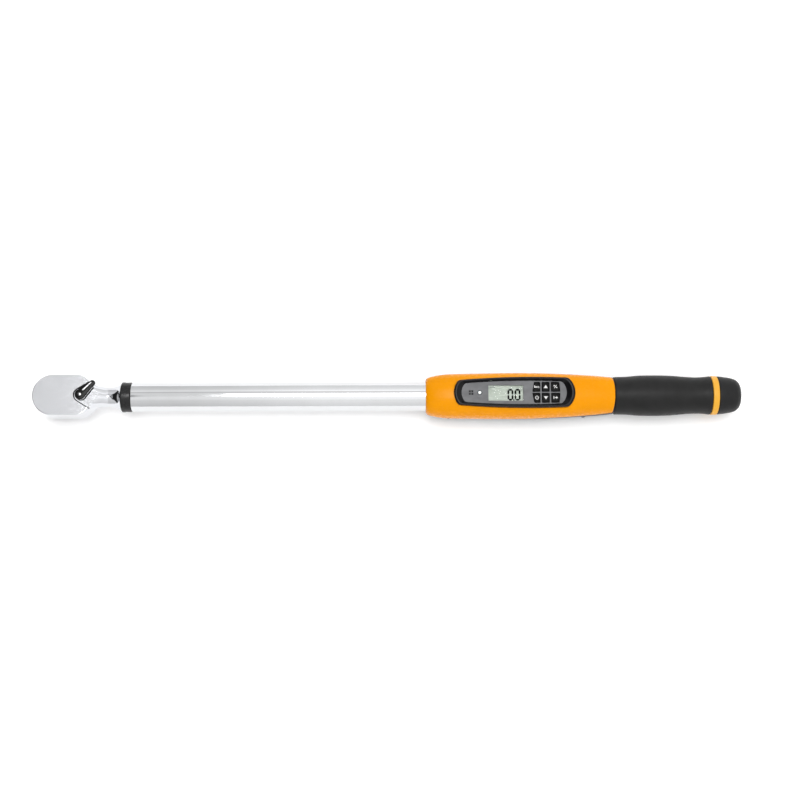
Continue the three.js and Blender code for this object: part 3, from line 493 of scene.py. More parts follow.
def cut(thing, cutters, sharp=SHARP):
    """Takes the cutters' volumes out of a piece, then removes them."""
    for cutter in cutters:
        modifier = thing.modifiers.new("cut", "BOOLEAN")
        modifier.operation = "DIFFERENCE"
        modifier.solver = "EXACT"
        modifier.object = cutter
    graph = bpy.context.evaluated_depsgraph_get()
    mesh = bpy.data.meshes.new_from_object(thing.evaluated_get(graph))
    thing.modifiers.clear()
    old = thing.data
    thing.data = mesh
    mesh.name = old.name
    bpy.data.meshes.remove(old)
    for cutter in cutters:
        bpy.data.objects.remove(cutter)
    with edited(mesh) as work:
        bmesh.ops.remove_doubles(work, verts=work.verts, dist=1e-6)
        bmesh.ops.dissolve_degenerate(work, edges=work.edges, dist=1e-6)
    finish_mesh(mesh, sharp)


def cutter(grid, wrap=(False, True), caps=(True, True)):
    """Closed solid for cut(), from a grid of points in millimetres."""
    points, faces = surface(grid, wrap, caps)
    mesh = bpy.data.meshes.new("cutter")
    mesh.from_pydata(points.tolist(), [], faces)
    with edited(mesh) as work:
        bmesh.ops.remove_doubles(work, verts=work.verts, dist=1e-7)
        bmesh.ops.recalc_face_normals(work, faces=work.faces)
    thing = bpy.data.objects.new("cutter", mesh)
    bpy.context.collection.objects.link(thing)
    return thing


def curve_through(xs, known_x, known_y):
    """Smooth curve through known points that never overshoots them (cubic pieces, harmonic slopes)."""
    known_x, known_y = np.asarray(known_x, float), np.asarray(known_y, float)
    step, rise = np.diff(known_x), np.diff(known_y)
    slope = rise / step
    inner = np.where(slope[:-1] * slope[1:] > 0,
            2 * slope[:-1] * slope[1:] / (slope[:-1] + slope[1:] + 1e-12), 0)
    tangent = np.concatenate([[slope[0]], inner, [slope[-1]]])
    i = np.clip(np.searchsorted(known_x, xs) - 1, 0, len(step) - 1)
    t = np.clip((xs - known_x[i]) / step[i], 0, 1)
    a, b = known_y[i], known_y[i + 1]
    m, n = tangent[i] * step[i], tangent[i + 1] * step[i]
    return ((2 * t**3 - 3 * t**2 + 1) * a + (t**3 - 2 * t**2 + t) * m
            + (3 * t**2 - 2 * t**3) * b + (t**3 - t**2) * n)


def filleted(corners, radius, steps=5):
    """Closed outline of corners (x, y, and an optional radius of its own), each rounded by a short curve."""
    plain = np.array([corner[:2] for corner in corners], float)
    radii = [corner[2] if len(corner) > 2 else radius for corner in corners]
    result = []
    count = len(plain)
    for i, (here, r) in enumerate(zip(plain, radii)):
        if r <= 0:
            result.append(here[None])
            continue
        before, after = plain[i - 1] - here, plain[(i + 1) % count] - here
        long_before, long_after = np.linalg.norm(before), np.linalg.norm(after)
        reach = min(r, 0.49 * long_before, 0.49 * long_after)
        t = np.linspace(0, 1, steps + 1)[:, None]
        start, end = here + before / long_before * reach, here + after / long_after * reach
        result.append((1 - t) ** 2 * start + 2 * t * (1 - t) * here + t**2 * end)
    return np.concatenate(result)


def turned_x(profile, count=FINE):
    """Grid for a profile of (x, radius) turned about the long axis."""
    profile = np.asarray(profile, float)
    angle = np.linspace(0, 2 * np.pi, count, endpoint=False)
    x, r = profile[:, 0, None], profile[:, 1, None]
    return np.stack([x + 0 * angle, r * np.cos(angle), r * np.sin(angle)], -1)


def turned_z(profile, centre=(0, 0), count=64):
    """Grid for a profile of (radius, z) turned about an upright line through centre."""
    profile = np.asarray(profile, float)
    angle = np.linspace(0, 2 * np.pi, count, endpoint=False)
    r, z = profile[:, 0, None], profile[:, 1, None]
    return np.stack([centre[0] + r * np.cos(angle), centre[1] + r * np.sin(angle), z + 0 * angle], -1)


def smooth_path(points, count):
    """Points spread evenly in step along a smooth curve through the given ones."""
    points = np.asarray(points, float)
    reach = np.concatenate([[0], np.cumsum(np.linalg.norm(np.diff(points, axis=0), axis=1))])
    at = np.linspace(0, reach[-1], count)
    return np.column_stack([curve_through(at, reach, points[:, 0]), curve_through(at, reach, points[:, 1])])


def block(x0, x1, y0, y1):
    """Upright rectangle."""
    return np.array([(x0, y0), (x1, y0), (x1, y1), (x0, y1)], float)


def upright(outlines, heights):
    """Grid of outlines of equal length, one above another at the given heights."""
    return np.stack([np.column_stack([outline, np.full(len(outline), z)]) for outline,
            z in zip(outlines, heights)])


def ring(name, corners, look, slot, replaces=()):
    """Finished ring about the long axis, from the rounded corners of its section."""
    return piece(name, turned_x(filleted(corners, 0.3)), look, slot, replaces=replaces, wrap=(True, True))


# ---- ratchet head

HEAD_SIDE = 18.6
HEAD_NOSE = 18.9
# Sections of the forging: x, half width, top, bottom, corner radius.
HEAD_SECTIONS = np.array([
    (0, 18.6, 14.5, -10, 0.7), (20, 18.6, 14.5, -10, 0.7), (24.5, 18.4, 14.5, -10, 0.8),
    (28, 16.9, 14.5, -9.98, 1.0), (31, 15, 14.5, -9.9, 2.2), (34, 12.8, 14.45, -9.8, 4.6),
    (36.5, 11.1, 14.2, -9.7, 7.4), (39, 9.95, 13.7, -9.5, 8.9), (41, 9.4, 13.25, -9.3, 9.2),
    (42.5, 9.15, 12.75, -9.2, 9.1), (44, 9.05, 12.0, -9.1, 9.0), (45.5, 9, 11.1, -9, 8.95),
    (47, 8.98, 10.2, -8.98, 8.95), (49, 8.98, 9.2, -8.98, 8.98), (52, 9.25, 9.25, -9.25, 9.25),
    (55.4, 9.95, 9.95, -9.95, 9.95), (58, 10.9, 10.9, -10.9, 10.9), (59.8, 11.9, 11.9, -11.9, 11.9),
    (61, 12.8, 12.8, -12.8, 12.8),
])
PLUG = {"radius": 10.8, "end": 95.0}
LEVER_X = 25.4
LEVER_ANGLE = math.radians(44)
POCKET = {"radius": 6.8, "angle": math.radians(31.5), "floor": 13.0, "far": 52.0, "groove": 0.85,
        "depth": 0.9}
# Slack in finding the groove's faces, sideways and in height, and where its search ends.
GROOVE_SLACK = 0.05
GROOVE_SKIN = 0.02
GROOVE_REACH = 14
BORE_PROFILE = [(14.9, -12), (14.9, 5.3), (11.8, 5.3), (11.8, 9.8)]
RING_GROOVE = [(16.1, -9.3), (16.1, -8.0)]
HEAD_SHARP = math.radians(28)


def half_section(width, top, bottom, corner):
    """From the middle of the top to that of the bottom: flat, quarter round, side, quarter round, flat."""
    bend = np.linspace(np.pi / 2, 0, 9)
    flat = np.linspace(0, 1, 5)[:-1]
    side = np.linspace(0, 1, 5)[1:-1]
    rho = [flat * (width - corner), width - corner + corner * np.cos(bend), np.full(3, width),
           width - corner + corner * np.cos(bend - np.pi / 2), (width - corner) * flat[::-1]]
    z = [np.full(4, top), top - corner + corner * np.sin(bend),
         top - corner + (bottom - top + 2 * corner) * side,
         bottom + corner + corner * np.sin(bend - np.pi / 2), np.full(4, bottom)]
    return np.concatenate(rho), np.concatenate(z)


def forging_grid():
    """Half sections carried round the head: across the tool along its sides, and fanned about the drive axis
    at its nose, so one surface runs from the plug on one side round the nose to the plug on the other."""
    along = np.concatenate([np.linspace(61, 44, 28), np.linspace(43.4, 20, 34), np.linspace(18, 0, 6)])
    x, *shape = HEAD_SECTIONS.T
    rows = []
    for station in along:
        width, top, bottom, corner = (float(curve_through(np.array([station]), x, values)[0])
                for values in shape)
        corner = min(corner, width - 0.001, (top - bottom) / 2 - 0.001)
        rho, z = half_section(width, top, bottom, corner)
        rows.append(np.column_stack([np.full(len(rho), station), rho, z]))
    _, width, top, bottom, corner = HEAD_SECTIONS[0]
    nose = []
    for angle in np.radians(np.linspace(90, 270, 61))[1:-1]:
        reach = min(HEAD_NOSE, HEAD_SIDE / max(abs(math.sin(angle)), 0.01))
        rho, z = half_section(reach, top, bottom, corner)
        nose.append(np.column_stack([rho * math.cos(angle), rho * math.sin(angle), z]))
    mirror = [row * (1, -1, 1) for row in rows[::-1]]
    plug_rho, plug_z = half_section(PLUG["radius"], PLUG["radius"], -PLUG["radius"], PLUG["radius"] - 0.001)
    plug = [np.column_stack([np.full(len(plug_rho), end), plug_rho, plug_z]) for end in (PLUG["end"], 61)]
    ends = [row * (1, -1, 1) for row in plug[::-1]]
    return np.stack([*plug, *rows, *nose, *mirror, *ends])


def pocket_outline():
    """V opening towards the neck from a round end about the lever's pivot."""
    turn = math.pi / 2 + POCKET["angle"]
    sweep = np.linspace(turn, 2 * math.pi - turn, 33)
    arc = np.column_stack([LEVER_X + POCKET["radius"] * np.cos(sweep), POCKET["radius"] * np.sin(sweep)])
    spread = arc[0, 1] + (POCKET["far"] - arc[0, 0]) * math.tan(POCKET["angle"])
    return np.concatenate([arc, [(POCKET["far"], -spread), (POCKET["far"], spread)]])


def inset_corners(corners, amount):
    """Corners of a convex outline, run anticlockwise, after each side moves inwards."""
    corners = np.asarray(corners, float)
    side = np.roll(corners, -1, 0) - corners
    side /= np.linalg.norm(side, axis=1)[:, None]
    inward = np.column_stack([-side[:, 1], side[:, 0]])
    before = np.roll(inward, 1, 0)
    bisector = inward + before
    return corners + amount * bisector / (1 + (inward * before).sum(1))[:, None]


def crisp_flats(mesh):
    """Marks the edges round every level face as sharp, so the flats stay flat in reflections."""
    with edited(mesh) as work:
        for edge in work.edges:
            level = [abs(face.normal.z) > 0.99999 for face in edge.link_faces]
            if any(level) and not all(level):
                edge.smooth = False


def paint_groove_shade(head):
    """Paints shade into the groove at the foot of the pocket's wall, as a dark material on faces found by
    the distance of each face from the wall: radius less the distance from the pivot behind it, and the distance
    from the straight wall ahead."""
    head.data.materials.append(LOOKS["groove_painted_shade"].material)
    count = len(head.data.polygons)
    centres = np.empty(count * 3)
    head.data.polygons.foreach_get("center", centres)
    x, y, z = centres.reshape(-1, 3).T / MM
    x, y, z = x - LEVER_X, np.abs(y), z - AXIS_Z
    lean = POCKET["angle"]
    straight = POCKET["radius"] + x * math.sin(lean) - y * math.cos(lean)
    behind = np.arctan2(y, x) > math.pi / 2 + lean
    inside = np.where(behind, POCKET["radius"] - np.hypot(x, y), straight)
    low = (z < POCKET["floor"] - GROOVE_SKIN) & (z > POCKET["floor"] - POCKET["depth"] - GROOVE_SKIN)
    near = (inside > -GROOVE_SLACK) & (inside < POCKET["groove"] + GROOVE_SLACK) & (x < GROOVE_REACH)
    in_groove = low & near
    # Faces in the groove take the dark material, which paints shade into it.
    head.data.polygons.foreach_set("material_index", in_groove.astype(np.int32))
    crisp_flats(head.data)


def make_head():
    grid = forging_grid()
    head = piece("head_forging", grid, "head_chrome", "chrome", replaces=["ratchet_head"],
            wrap=(False, False),
            sharp=HEAD_SHARP)
    with edited(head.data) as work:
        bmesh.ops.holes_fill(work, edges=[e for e in work.edges if e.is_boundary], sides=0)
        bmesh.ops.recalc_face_normals(work, faces=work.faces)
    pocket = pocket_outline()
    wall = upright([pocket, pocket], [POCKET["floor"], 20])
    foot = inset_corners(pocket, POCKET["groove"])
    floor, bottom = POCKET["floor"] + 0.5, POCKET["floor"] - POCKET["depth"]
    groove_at_foot = upright([pocket, pocket, foot, foot], [bottom, floor, floor, bottom])
    bore = turned_z(BORE_PROFILE, count=96)
    groove = turned_z(RING_GROOVE, count=96)
    cutters = [cutter(groove_at_foot, (True, True), (False, False)), cutter(wall), cutter(bore),
            cutter(groove)]
    cut(head, cutters, sharp=HEAD_SHARP)
    paint_groove_shade(head)
    return head


make_head()

# ---- reversing lever

# Inset from the lever's outline and height, from its underside up over the rounded top edge.
LEVER_LEVELS = [
    (0.5, 14.8), (0.15, 14.85), (0.0, 15.05), (0.0, 16.3), (0.06, 16.6), (0.22, 16.86), (0.46, 17.05),
    (0.8, 17.15),
    (1.2, 17.2),
]
LEVER_HUB = 4.8
LEVER_TIP = 2.6
LEVER_REACH = 15.3
RIB_LEVELS = [(0.0, 17.0), (0.0, 17.5), (0.05, 17.75), (0.16, 17.93), (0.32, 18.04), (0.5, 18.08)]
PIVOT_PROFILE = [
    (0, 17.0), (1.45, 17.0), (1.45, 17.3), (1.35, 17.5), (1.1, 17.66), (0.75, 17.78), (0.35, 17.84),
    (0, 17.85),
]
PIVOT_RIM = [(1.55, 17.0), (2.6, 17.0), (2.55, 17.3), (2.3, 17.45), (1.9, 17.45), (1.65, 17.3)]
PLUNGER_HOLE = [(-4, 1.3), (1.7, 1.3)]
RIB = {"near": 0.72, "far": 0.6, "reach": 9.6, "start": 4.8, "shift": 0.85}
SHAFT_PROFILE = [
    (0, -4.6), (2.7, -4.6), (3, -4.3), (3, 13.1), (3.2, 13.15), (4.5, 13.15), (4.65, 13.3), (4.65, 15.2),
    (0, 15.2),
]


def teardrop(hub, tip, reach, start=0.0, count=24):
    """Outline of a large and a small circle on one line, joined by their common tangents."""
    lean = math.acos((hub - tip) / reach)
    back, front = np.linspace(lean, 2 * np.pi - lean, 2 * count), np.linspace(-lean, lean, count)
    return np.concatenate([
        np.column_stack([start + hub * np.cos(back), hub * np.sin(back)]),
        np.column_stack([start + reach + tip * np.cos(front), tip * np.sin(front)])])


def at_lever(grid):
    """Turns a grid drawn with the lever along +X to the lever's own place and angle."""
    c, s = math.cos(LEVER_ANGLE), math.sin(LEVER_ANGLE)
    turn = np.array([(c, s, 0), (-s, c, 0), (0, 0, 1)])
    return grid @ turn + (LEVER_X, 0, 0)


def make_lever():
    outlines = [teardrop(LEVER_HUB - inset, LEVER_TIP - inset, LEVER_REACH) for inset, _ in LEVER_LEVELS]
    arm = at_lever(upright(outlines, [z for _, z in LEVER_LEVELS]))
    piece("lever_arm", arm, "black_steel", "black_steel", "lever", replaces=["reversing_lever"],
          caps=(True, True),
          sharp=math.radians(50))
    ribs = [teardrop(RIB["near"] - inset, RIB["far"] - inset, RIB["reach"], start=RIB["start"], count=12)
            + (0, RIB["shift"]) for inset, _ in RIB_LEVELS]
    rib = at_lever(upright(ribs, [z for _, z in RIB_LEVELS]))
    # Raised rib along the arm, in the light grey finish that paints its highlight.
    piece("lever_rib", rib, "lever_rib", "black_steel", "lever", caps=(True, True), sharp=math.radians(50))
    pivot = turned_z(PIVOT_PROFILE, centre=(LEVER_X, 0), count=48)
    piece("lever_pivot", pivot, "pin_steel", "steel", "lever", sharp=math.radians(40))
    piece("lever_pivot_rim", turned_z(PIVOT_RIM, centre=(LEVER_X, 0), count=48), "black_steel", "black_steel",
          "lever", wrap=(True, True))
    shaft = piece("lever_shaft", turned_z(SHAFT_PROFILE, centre=(LEVER_X, 0), count=48), "black_steel",
            "black_steel", "lever")
    cut(shaft, [cutter(at_lever(turned_x(PLUNGER_HOLE, count=24)))])


make_lever()

# ---- drive gear, ball and retaining ring

TEETH = 84
SQUARE_HALF = 6.35
SQUARE_CORNER = 1.2
SQUARE_END = -24.3
NECK_BOTTOM = -10.4
# Kind of outline, radius or shrink, and height, from the end of the square up to the journal.
GEAR_LEVELS = [
    ("square", 1.0, SQUARE_END), ("square", 0.62, -24.2), ("square", 0.3, -23.95), ("square", 0.0, -23.45),
    ("square", 0.0, -12.2), ("square", 0.0, -10.9), ("round", 7.4, -10.5), ("round", 8.6, NECK_BOTTOM),
    ("round", 9.0, -10.3), ("round", 9.1, -10.1), ("round", 9.1, -7.3), ("round", 9.3, -7.0),
    ("round", 12.1, -7.0),
    ("round", 12.4, -6.8), ("round", 12.4, -5.0), ("teeth", 0.35, -5.0), ("teeth", 0.0, -4.7),
    ("teeth", 0.0, 4.7),
    ("teeth", 0.35, 5.0), ("round", 11.5, 5.0), ("round", 11.5, 9.2), ("round", 11.3, 9.4),
    ("round", 0.0, 9.4),
]
WASHER_CORNERS = [(9.4, -7.95), (14.7, -7.95), (14.7, -7.15), (9.4, -7.15)]
GEAR_TIP = 14.0
GEAR_ROOT = 13.25
BALL = {"radius": 2.4, "y": -4.85, "z": -17.5, "hole": 2.52}
CLIP = {"bottom": -9.15, "top": -8.15, "bore": 12.9, "radius": 15.8, "ear_x": 12.9, "ear_y": 4.9, "ear": 1.7,
        "hole": 0.8}


def square_radius(angle, shrink):
    """Distance from the middle of a square with round corners to its edge, in a direction."""
    half, corner = SQUARE_HALF - shrink, SQUARE_CORNER
    folded = np.abs((angle + np.pi / 4) % (np.pi / 2) - np.pi / 4)
    centre = half - corner
    along = centre * (np.cos(folded) + np.sin(folded))
    round_part = along + np.sqrt(np.maximum(corner**2 - 2 * centre**2 + along**2, 0))
    return np.where(half * np.tan(folded) <= centre, half / np.cos(folded), round_part)


def gear_grid():
    """One outline per height: a rounded square, a circle, or a circle with teeth (cut-off cosine waves)."""
    angle = np.linspace(0, 2 * np.pi, TEETH * 6, endpoint=False)
    wave = np.clip(0.5 + 0.95 * np.cos(TEETH * angle), 0, 1)
    rows = []
    for kind, value, z in GEAR_LEVELS:
        if kind == "square":
            radius = square_radius(angle, value)
        elif kind == "teeth":
            radius = GEAR_ROOT + (GEAR_TIP - GEAR_ROOT) * wave - value
        else:
            radius = np.full(len(angle), value)
        rows.append(np.column_stack([radius * np.cos(angle), radius * np.sin(angle), np.full(len(angle), z)]))
    return np.stack(rows)


def make_gear():
    gear = finished("drive_gear", gear_grid(), "steel", "steel", "gear",
            caps=(True, False), sharp=math.radians(40))
    angle = np.linspace(0, 2 * np.pi, 40, endpoint=False)
    ring = np.column_stack([BALL["hole"] * np.cos(angle), 0 * angle,
            BALL["z"] + BALL["hole"] * np.sin(angle)])
    cut(gear, [cutter(np.stack([ring + (0, y, 0) for y in (-8.0, 2.3)]))], sharp=math.radians(40))
    turn = np.linspace(0, np.pi, 25)
    profile = np.column_stack([BALL["radius"] * np.sin(turn), BALL["z"] - BALL["radius"] * np.cos(turn)])
    finished("drive_ball", turned_z(profile, centre=(0, BALL["y"]), count=40), "pin_steel", "steel",
          "ball")


def make_retaining_ring():
    """Open flat ring, with a small eye at each end."""
    bottom, top = CLIP["bottom"], CLIP["top"]
    gap = math.atan2(CLIP["ear_y"], CLIP["ear_x"] + 0.6)
    angle = np.linspace(gap, 2 * np.pi - gap, 97)
    section = filleted([(CLIP["bore"], bottom), (CLIP["radius"], bottom), (CLIP["radius"], top),
            (CLIP["bore"], top)],
            0.15)
    r, z = section[:, 0], section[:, 1]
    body = np.stack([np.column_stack([r * math.cos(a), r * math.sin(a), z]) for a in angle])
    eye = filleted([(CLIP["hole"], bottom), (CLIP["ear"], bottom), (CLIP["ear"], top), (CLIP["hole"], top)],
            0.12)
    parts = [surface(body, wrap=(False, True), caps=(True, True))]
    for side in (-1, 1):
        parts.append(surface(turned_z(eye, centre=(CLIP["ear_x"], side * CLIP["ear_y"]), count=32),
                wrap=(True, True)))
    mesh_piece("retaining_ring_finished", *joined(parts), "spring_steel", "spring_steel",
        replaces=["retaining_ring"])
    washer = filleted(WASHER_CORNERS, 0.15)
    finished("gear_washer", turned_z(washer, count=96), "steel", "steel",
          wrap=(True, True))


make_gear()
make_retaining_ring()

# ---- tube, collar and handle

COLLAR_CORNERS = [(61.3, 10.95, 0.3), (61.3, 13.95, 0.9), (64.1, 13.95, 0.25), (64.35, 13.7, 0.25),
        (70.4, 13.8, 0.9),
        (70.4, 10.95, 0.3)]
TUBE_CORNERS = [(70.6, 11, 0.2), (70.6, 13.4, 0.5), (340, 13.4, 0), (520, 13.4, 0), (603.8, 13.4, 0.3),
        (603.8, 11, 0.2), (520, 11, 0), (340, 11, 0)]
TUBE_SLOTS = [(382, 402), (460, 482)]
SLOT = {"half": 2.5, "corner": 2.4, "low": 8, "high": 16}
GRIP_CURVE = [(515.5, 17.3), (525.7, 17.6), (540, 18.65), (553.5, 18.8), (567, 18.4), (582, 17.2),
        (590, 16.8),
        (597, 17.05), (603, 17.7)]
TRIM_CORNERS = [(604.2, 11, 0.2), (604.2, 17.95, 0.8), (609.8, 17.95, 0.8), (609.8, 11, 0.2)]
CAP_CURVE = [(610.7, 17.6), (614.2, 17.35), (618, 16.85), (621.6, 16.25), (624.4, 15.6), (626.8, 14.7),
        (628.8, 13.3), (630.4, 11.4), (631.3, 9.2), (631.6, 7), (631.6, 3.5), (631.6, 0)]
CAP_INNER = [(606, 0), (606, 7.7), (596, 7.7), (596, 9.3), (610.2, 9.3), (610.2, 17.1), (610.3, 17.4)]


def make_tube():
    ring("front_collar_finished", COLLAR_CORNERS, "collar_black", "black_plastic", ["front_collar"])
    tube = ring("steel_tube_finished", TUBE_CORNERS, "chrome", "chrome", ["steel_tube"])
    slots = []
    for x0, x1 in TUBE_SLOTS:
        outline = filleted(block(x0, x1, -SLOT["half"], SLOT["half"]), SLOT["corner"])
        slots.append(cutter(upright([outline, outline], [SLOT["low"], SLOT["high"]])))
    cut(tube, slots)


def make_handle():
    curve = smooth_path(GRIP_CURVE, 110)
    grip = np.concatenate([[(514.9, 13.6), (514.9, 16.7), (515.05, 17.05)], curve,
            [(603.75, 17.5), (603.9, 17.1),
            (603.9, 13.6)]])
    finished("grip", turned_x(grip), "grip_rubber", "grip_rubber", wrap=(True, True))
    ring("trim_ring_finished", TRIM_CORNERS, "trim_orange", "trim_orange", ["trim_ring"])
    cap = np.concatenate([CAP_INNER, smooth_path(CAP_CURVE, 60)])
    finished("battery_cap", turned_x(cap), "cap_black", "black_plastic", "cap")


make_tube()
make_handle()

# ---- housing shells

# Sections of the housing: x, half width, top, bottom.
SHELL_SECTIONS = np.array([
    (341.4, 14.6, 14.6, 15.6), (342.4, 16.1, 15.8, 17.1), (343.7, 17, 16.6, 18), (347.4, 18.1, 17.8, 19.6),
    (354.8, 19.4, 19, 21.6), (362, 20.1, 19.7, 22.8), (378, 20.4, 20.3, 23.7), (400, 20.8, 20.6, 24.2),
    (424, 21, 20.7, 24.3), (447, 20.7, 20.6, 24.1), (470, 19.8, 20.2, 23.2), (490, 18.7, 19.2, 21.3),
    (507.6, 17.4, 18, 19), (514.4, 16.7, 17.2, 17.6),
])
SHELL_POWER = 2.4
SHELL_WALL = 2.2
SHELL_FRONT = 344.4
SHELL_REAR = 511.9
SHELL_HOLE = 13.6
SHELL_END = 514.4
SHELL_START = 341.4
PARTING = {"x": 336, "z": -11.5, "slope": 16 / 184, "half_gap": 0.08}
END_BOW = 95.0
END_BOW_START = 494.0
END_EDGE = [(513.5, 0.0), (513.95, 0.1), (514.25, 0.32), (514.4, 0.7)]
SHELL_OPENING = {"grow": 0.15, "heights": [14.3, 30]}
COUNTERBORE_RADIUS = 2.65
COUNTERBORE_START = -30
# x, y and the height of the seat of each screw's head.
COUNTERBORES = [(363, 16.2, -12.5), (363, -16.2, -12.5), (488, 15.9, -10.5), (488, -15.9, -10.5)]
REAR_RING = [(508.2, 13.6, 0.2), (508.2, 16.3, 0.3), (514.75, 16.5, 0.35), (514.75, 13.6, 0.2)]


def shell_rows():
    """Rows round the shell's wall as x, half width, top, bottom and power: outside to the rear, in to the
    tube's hole, back along the inner face and out again at the front."""
    x = np.concatenate([np.linspace(SHELL_START, 349, 16), np.linspace(351, 498, 50),
            np.linspace(500, 513, 14)])
    x = np.concatenate([x, [station for station, _ in END_EDGE]])
    inset = np.concatenate([np.zeros(len(x) - len(END_EDGE)), [amount for _, amount in END_EDGE]])
    known, *shape = SHELL_SECTIONS.T
    outer = np.column_stack([x] + [curve_through(x, known, values) - inset for values in shape]
            + [np.full(len(x), SHELL_POWER)])
    back = np.linspace(SHELL_REAR, SHELL_FRONT, 40)
    inner = np.column_stack([back] + [curve_through(back, known, values) - SHELL_WALL for values in shape]
            + [np.full(len(back), SHELL_POWER)])
    hole = lambda station: (station, SHELL_HOLE, SHELL_HOLE, SHELL_HOLE, 2.0)
    return np.concatenate([outer, [hole(SHELL_END), hole(SHELL_REAR)], inner,
            [hole(SHELL_FRONT), hole(SHELL_START)]])


def shell_grid(upper, count=121):
    """Oval sections between the two points where each one meets the sloping parting plane."""
    x, width, top, bottom, power = (column[:, None] for column in shell_rows().T)
    gap = PARTING["half_gap"] if upper else -PARTING["half_gap"]
    parting = PARTING["z"] + (x - PARTING["x"]) * PARTING["slope"] + gap
    level = parting / np.where(parting > 0, top, bottom)
    dip = -np.arcsin(np.sign(level) * np.abs(level) ** (power / 2))
    share = np.linspace(0, 1, count)[None, :]
    angle = -dip + (np.pi + 2 * dip) * share if upper else -dip - (np.pi - 2 * dip) * share
    c, s = np.cos(angle), np.sin(angle)
    y = width * np.sign(c) * np.abs(c) ** (2 / power)
    z = np.where(s >= 0, top, bottom) * np.sign(s) * np.abs(s) ** (2 / power)
    ease = np.clip((x - END_BOW_START) / (SHELL_END - END_BOW_START), 0, 1)
    bow = ease**2 * (3 - 2 * ease) * y**2 / (2 * END_BOW) if upper else 0
    return np.stack([x - bow + 0 * y, y, z], -1)


def make_shells():
    upper = finished("upper_housing", shell_grid(True), "orange_plastic", "orange_plastic",
                     wrap=(True, False), sides=True)
    opening = barrel(BEZEL_OUTLINE, SHELL_OPENING["grow"])
    cut(upper, [cutter(upright([opening, opening], SHELL_OPENING["heights"]))])
    lower = finished("lower_housing", shell_grid(False), "black_plastic", "black_plastic",
                     wrap=(True, False), sides=True)
    bores = []
    for x, y, seat in COUNTERBORES:
        profile = [(COUNTERBORE_RADIUS, COUNTERBORE_START), (COUNTERBORE_RADIUS, seat)]
        bores.append(cutter(turned_z(profile, centre=(x, y), count=40)))
    cut(lower, bores)
    ring("lower_housing_ring", REAR_RING, "black_plastic", "black_plastic")


# ---- bezel, display and keys

BEZEL_OUTLINE = {"x0": 366.9, "x1": 477.6, "left": (371, 11.4), "mid": 14, "right": (471.4, 13.4)}
RIM_OUTLINE = {"x0": 370.6, "x1": 473.9, "left": (374.4, 9.8), "mid": 12, "right": (468.4, 11.5)}
PANEL_OUTLINE = {"x0": 373.9, "x1": 469.9, "left": (377.2, 8.6), "mid": 10.7, "right": (465.6, 10.1)}
# Share of the way from the outer outline to the inner rim, and height, over the crown of the bezel.
BEZEL_CROWN = [(0.0, 16.2), (0.0, 20.0), (0.03, 20.6), (0.12, 21.05), (0.28, 21.3), (0.5, 21.4),
        (0.72, 21.36),
        (0.88, 21.2), (0.97, 20.95)]
# Share of the way from the rim down the funnel to the panel, and height.
BEZEL_FUNNEL = [(0.08, 20.7), (0.4, 19.9), (0.75, 19.1), (0.94, 18.68), (1.0, 18.62)]
BEZEL_SEAT = {"grow": 0.75, "heights": (18.62, 16.2)}
LCD_TOP = 16.9
# Small signs on the LCD, as x, pitch, y and count, and the width of the painted shadow strip along its far edge.
SIGNS = {"x": (400.4, 401.4), "pitch": 1.5, "y": (5.0, 5.6), "count": 3, "painted_shadow_strip": 1.5}
POINT = {"x": (-1.35, -0.15), "height": 1.25}
LIGHT_DOME = [(0, 15.8), (1.5, 15.8), (1.5, 18.55), (1.44, 18.72), (1.2, 18.85), (0.7, 18.93), (0, 18.95)]
LIGHT_RIM = [(1.55, 18.5), (2.15, 18.5), (2.15, 18.8), (1.55, 18.8)]
# Inset of the painted shadow strip from the LCD module's ends and far edge.
SHADOW_STRIP_INSET = 0.3
DIGIT = {"width": 5.5, "height": 10.8, "bar": 1.7, "bottom": -7.25, "left": (415.8, 422.3), "gap": 0.12}
KEY_COLUMNS = [(438.7, 445.5, 1.7, 0.0), (447.3, 454.0, 0.0, 0.0), (455.8, 463.8, 0.0, 0.9)]
KEY_NAMES = [("key_memory", "key_up", "key_units"), ("key_power", "key_down", "key_mode")]
KEY_NEAR = 0.75
KEY_FAR = 9.4
KEY_TOP = 19.4
KEY_CORNER = 1.3
KEY_CORNER_LEAST = 0.4
# Inset of the key's outline and height.
KEY_LEVELS = [(0.0, 16.7), (0.0, 18.85), (0.08, 19.1), (0.25, 19.28), (0.5, 19.37), (0.85, KEY_TOP)]
LIGHT_X = 390.5


def arc_through(a, b, c, count):
    """Points on the circle through three points, from a past b, short of c."""
    (ax, ay), (bx, by), (cx, cy) = a, b, c
    d = 2 * (ax * (by - cy) + bx * (cy - ay) + cx * (ay - by))
    a2, b2, c2 = ax * ax + ay * ay, bx * bx + by * by, cx * cx + cy * cy
    ux = (a2 * (by - cy) + b2 * (cy - ay) + c2 * (ay - by)) / d
    uy = (a2 * (cx - bx) + b2 * (ax - cx) + c2 * (bx - ax)) / d
    start = math.atan2(ay - uy, ax - ux)
    turn = math.atan2(cy - uy, cx - ux) - start
    angle = start + math.atan2(math.sin(turn), math.cos(turn)) * np.arange(count) / count
    radius = math.hypot(ax - ux, ay - uy)
    return np.column_stack([ux + radius * np.cos(angle), uy + radius * np.sin(angle)])


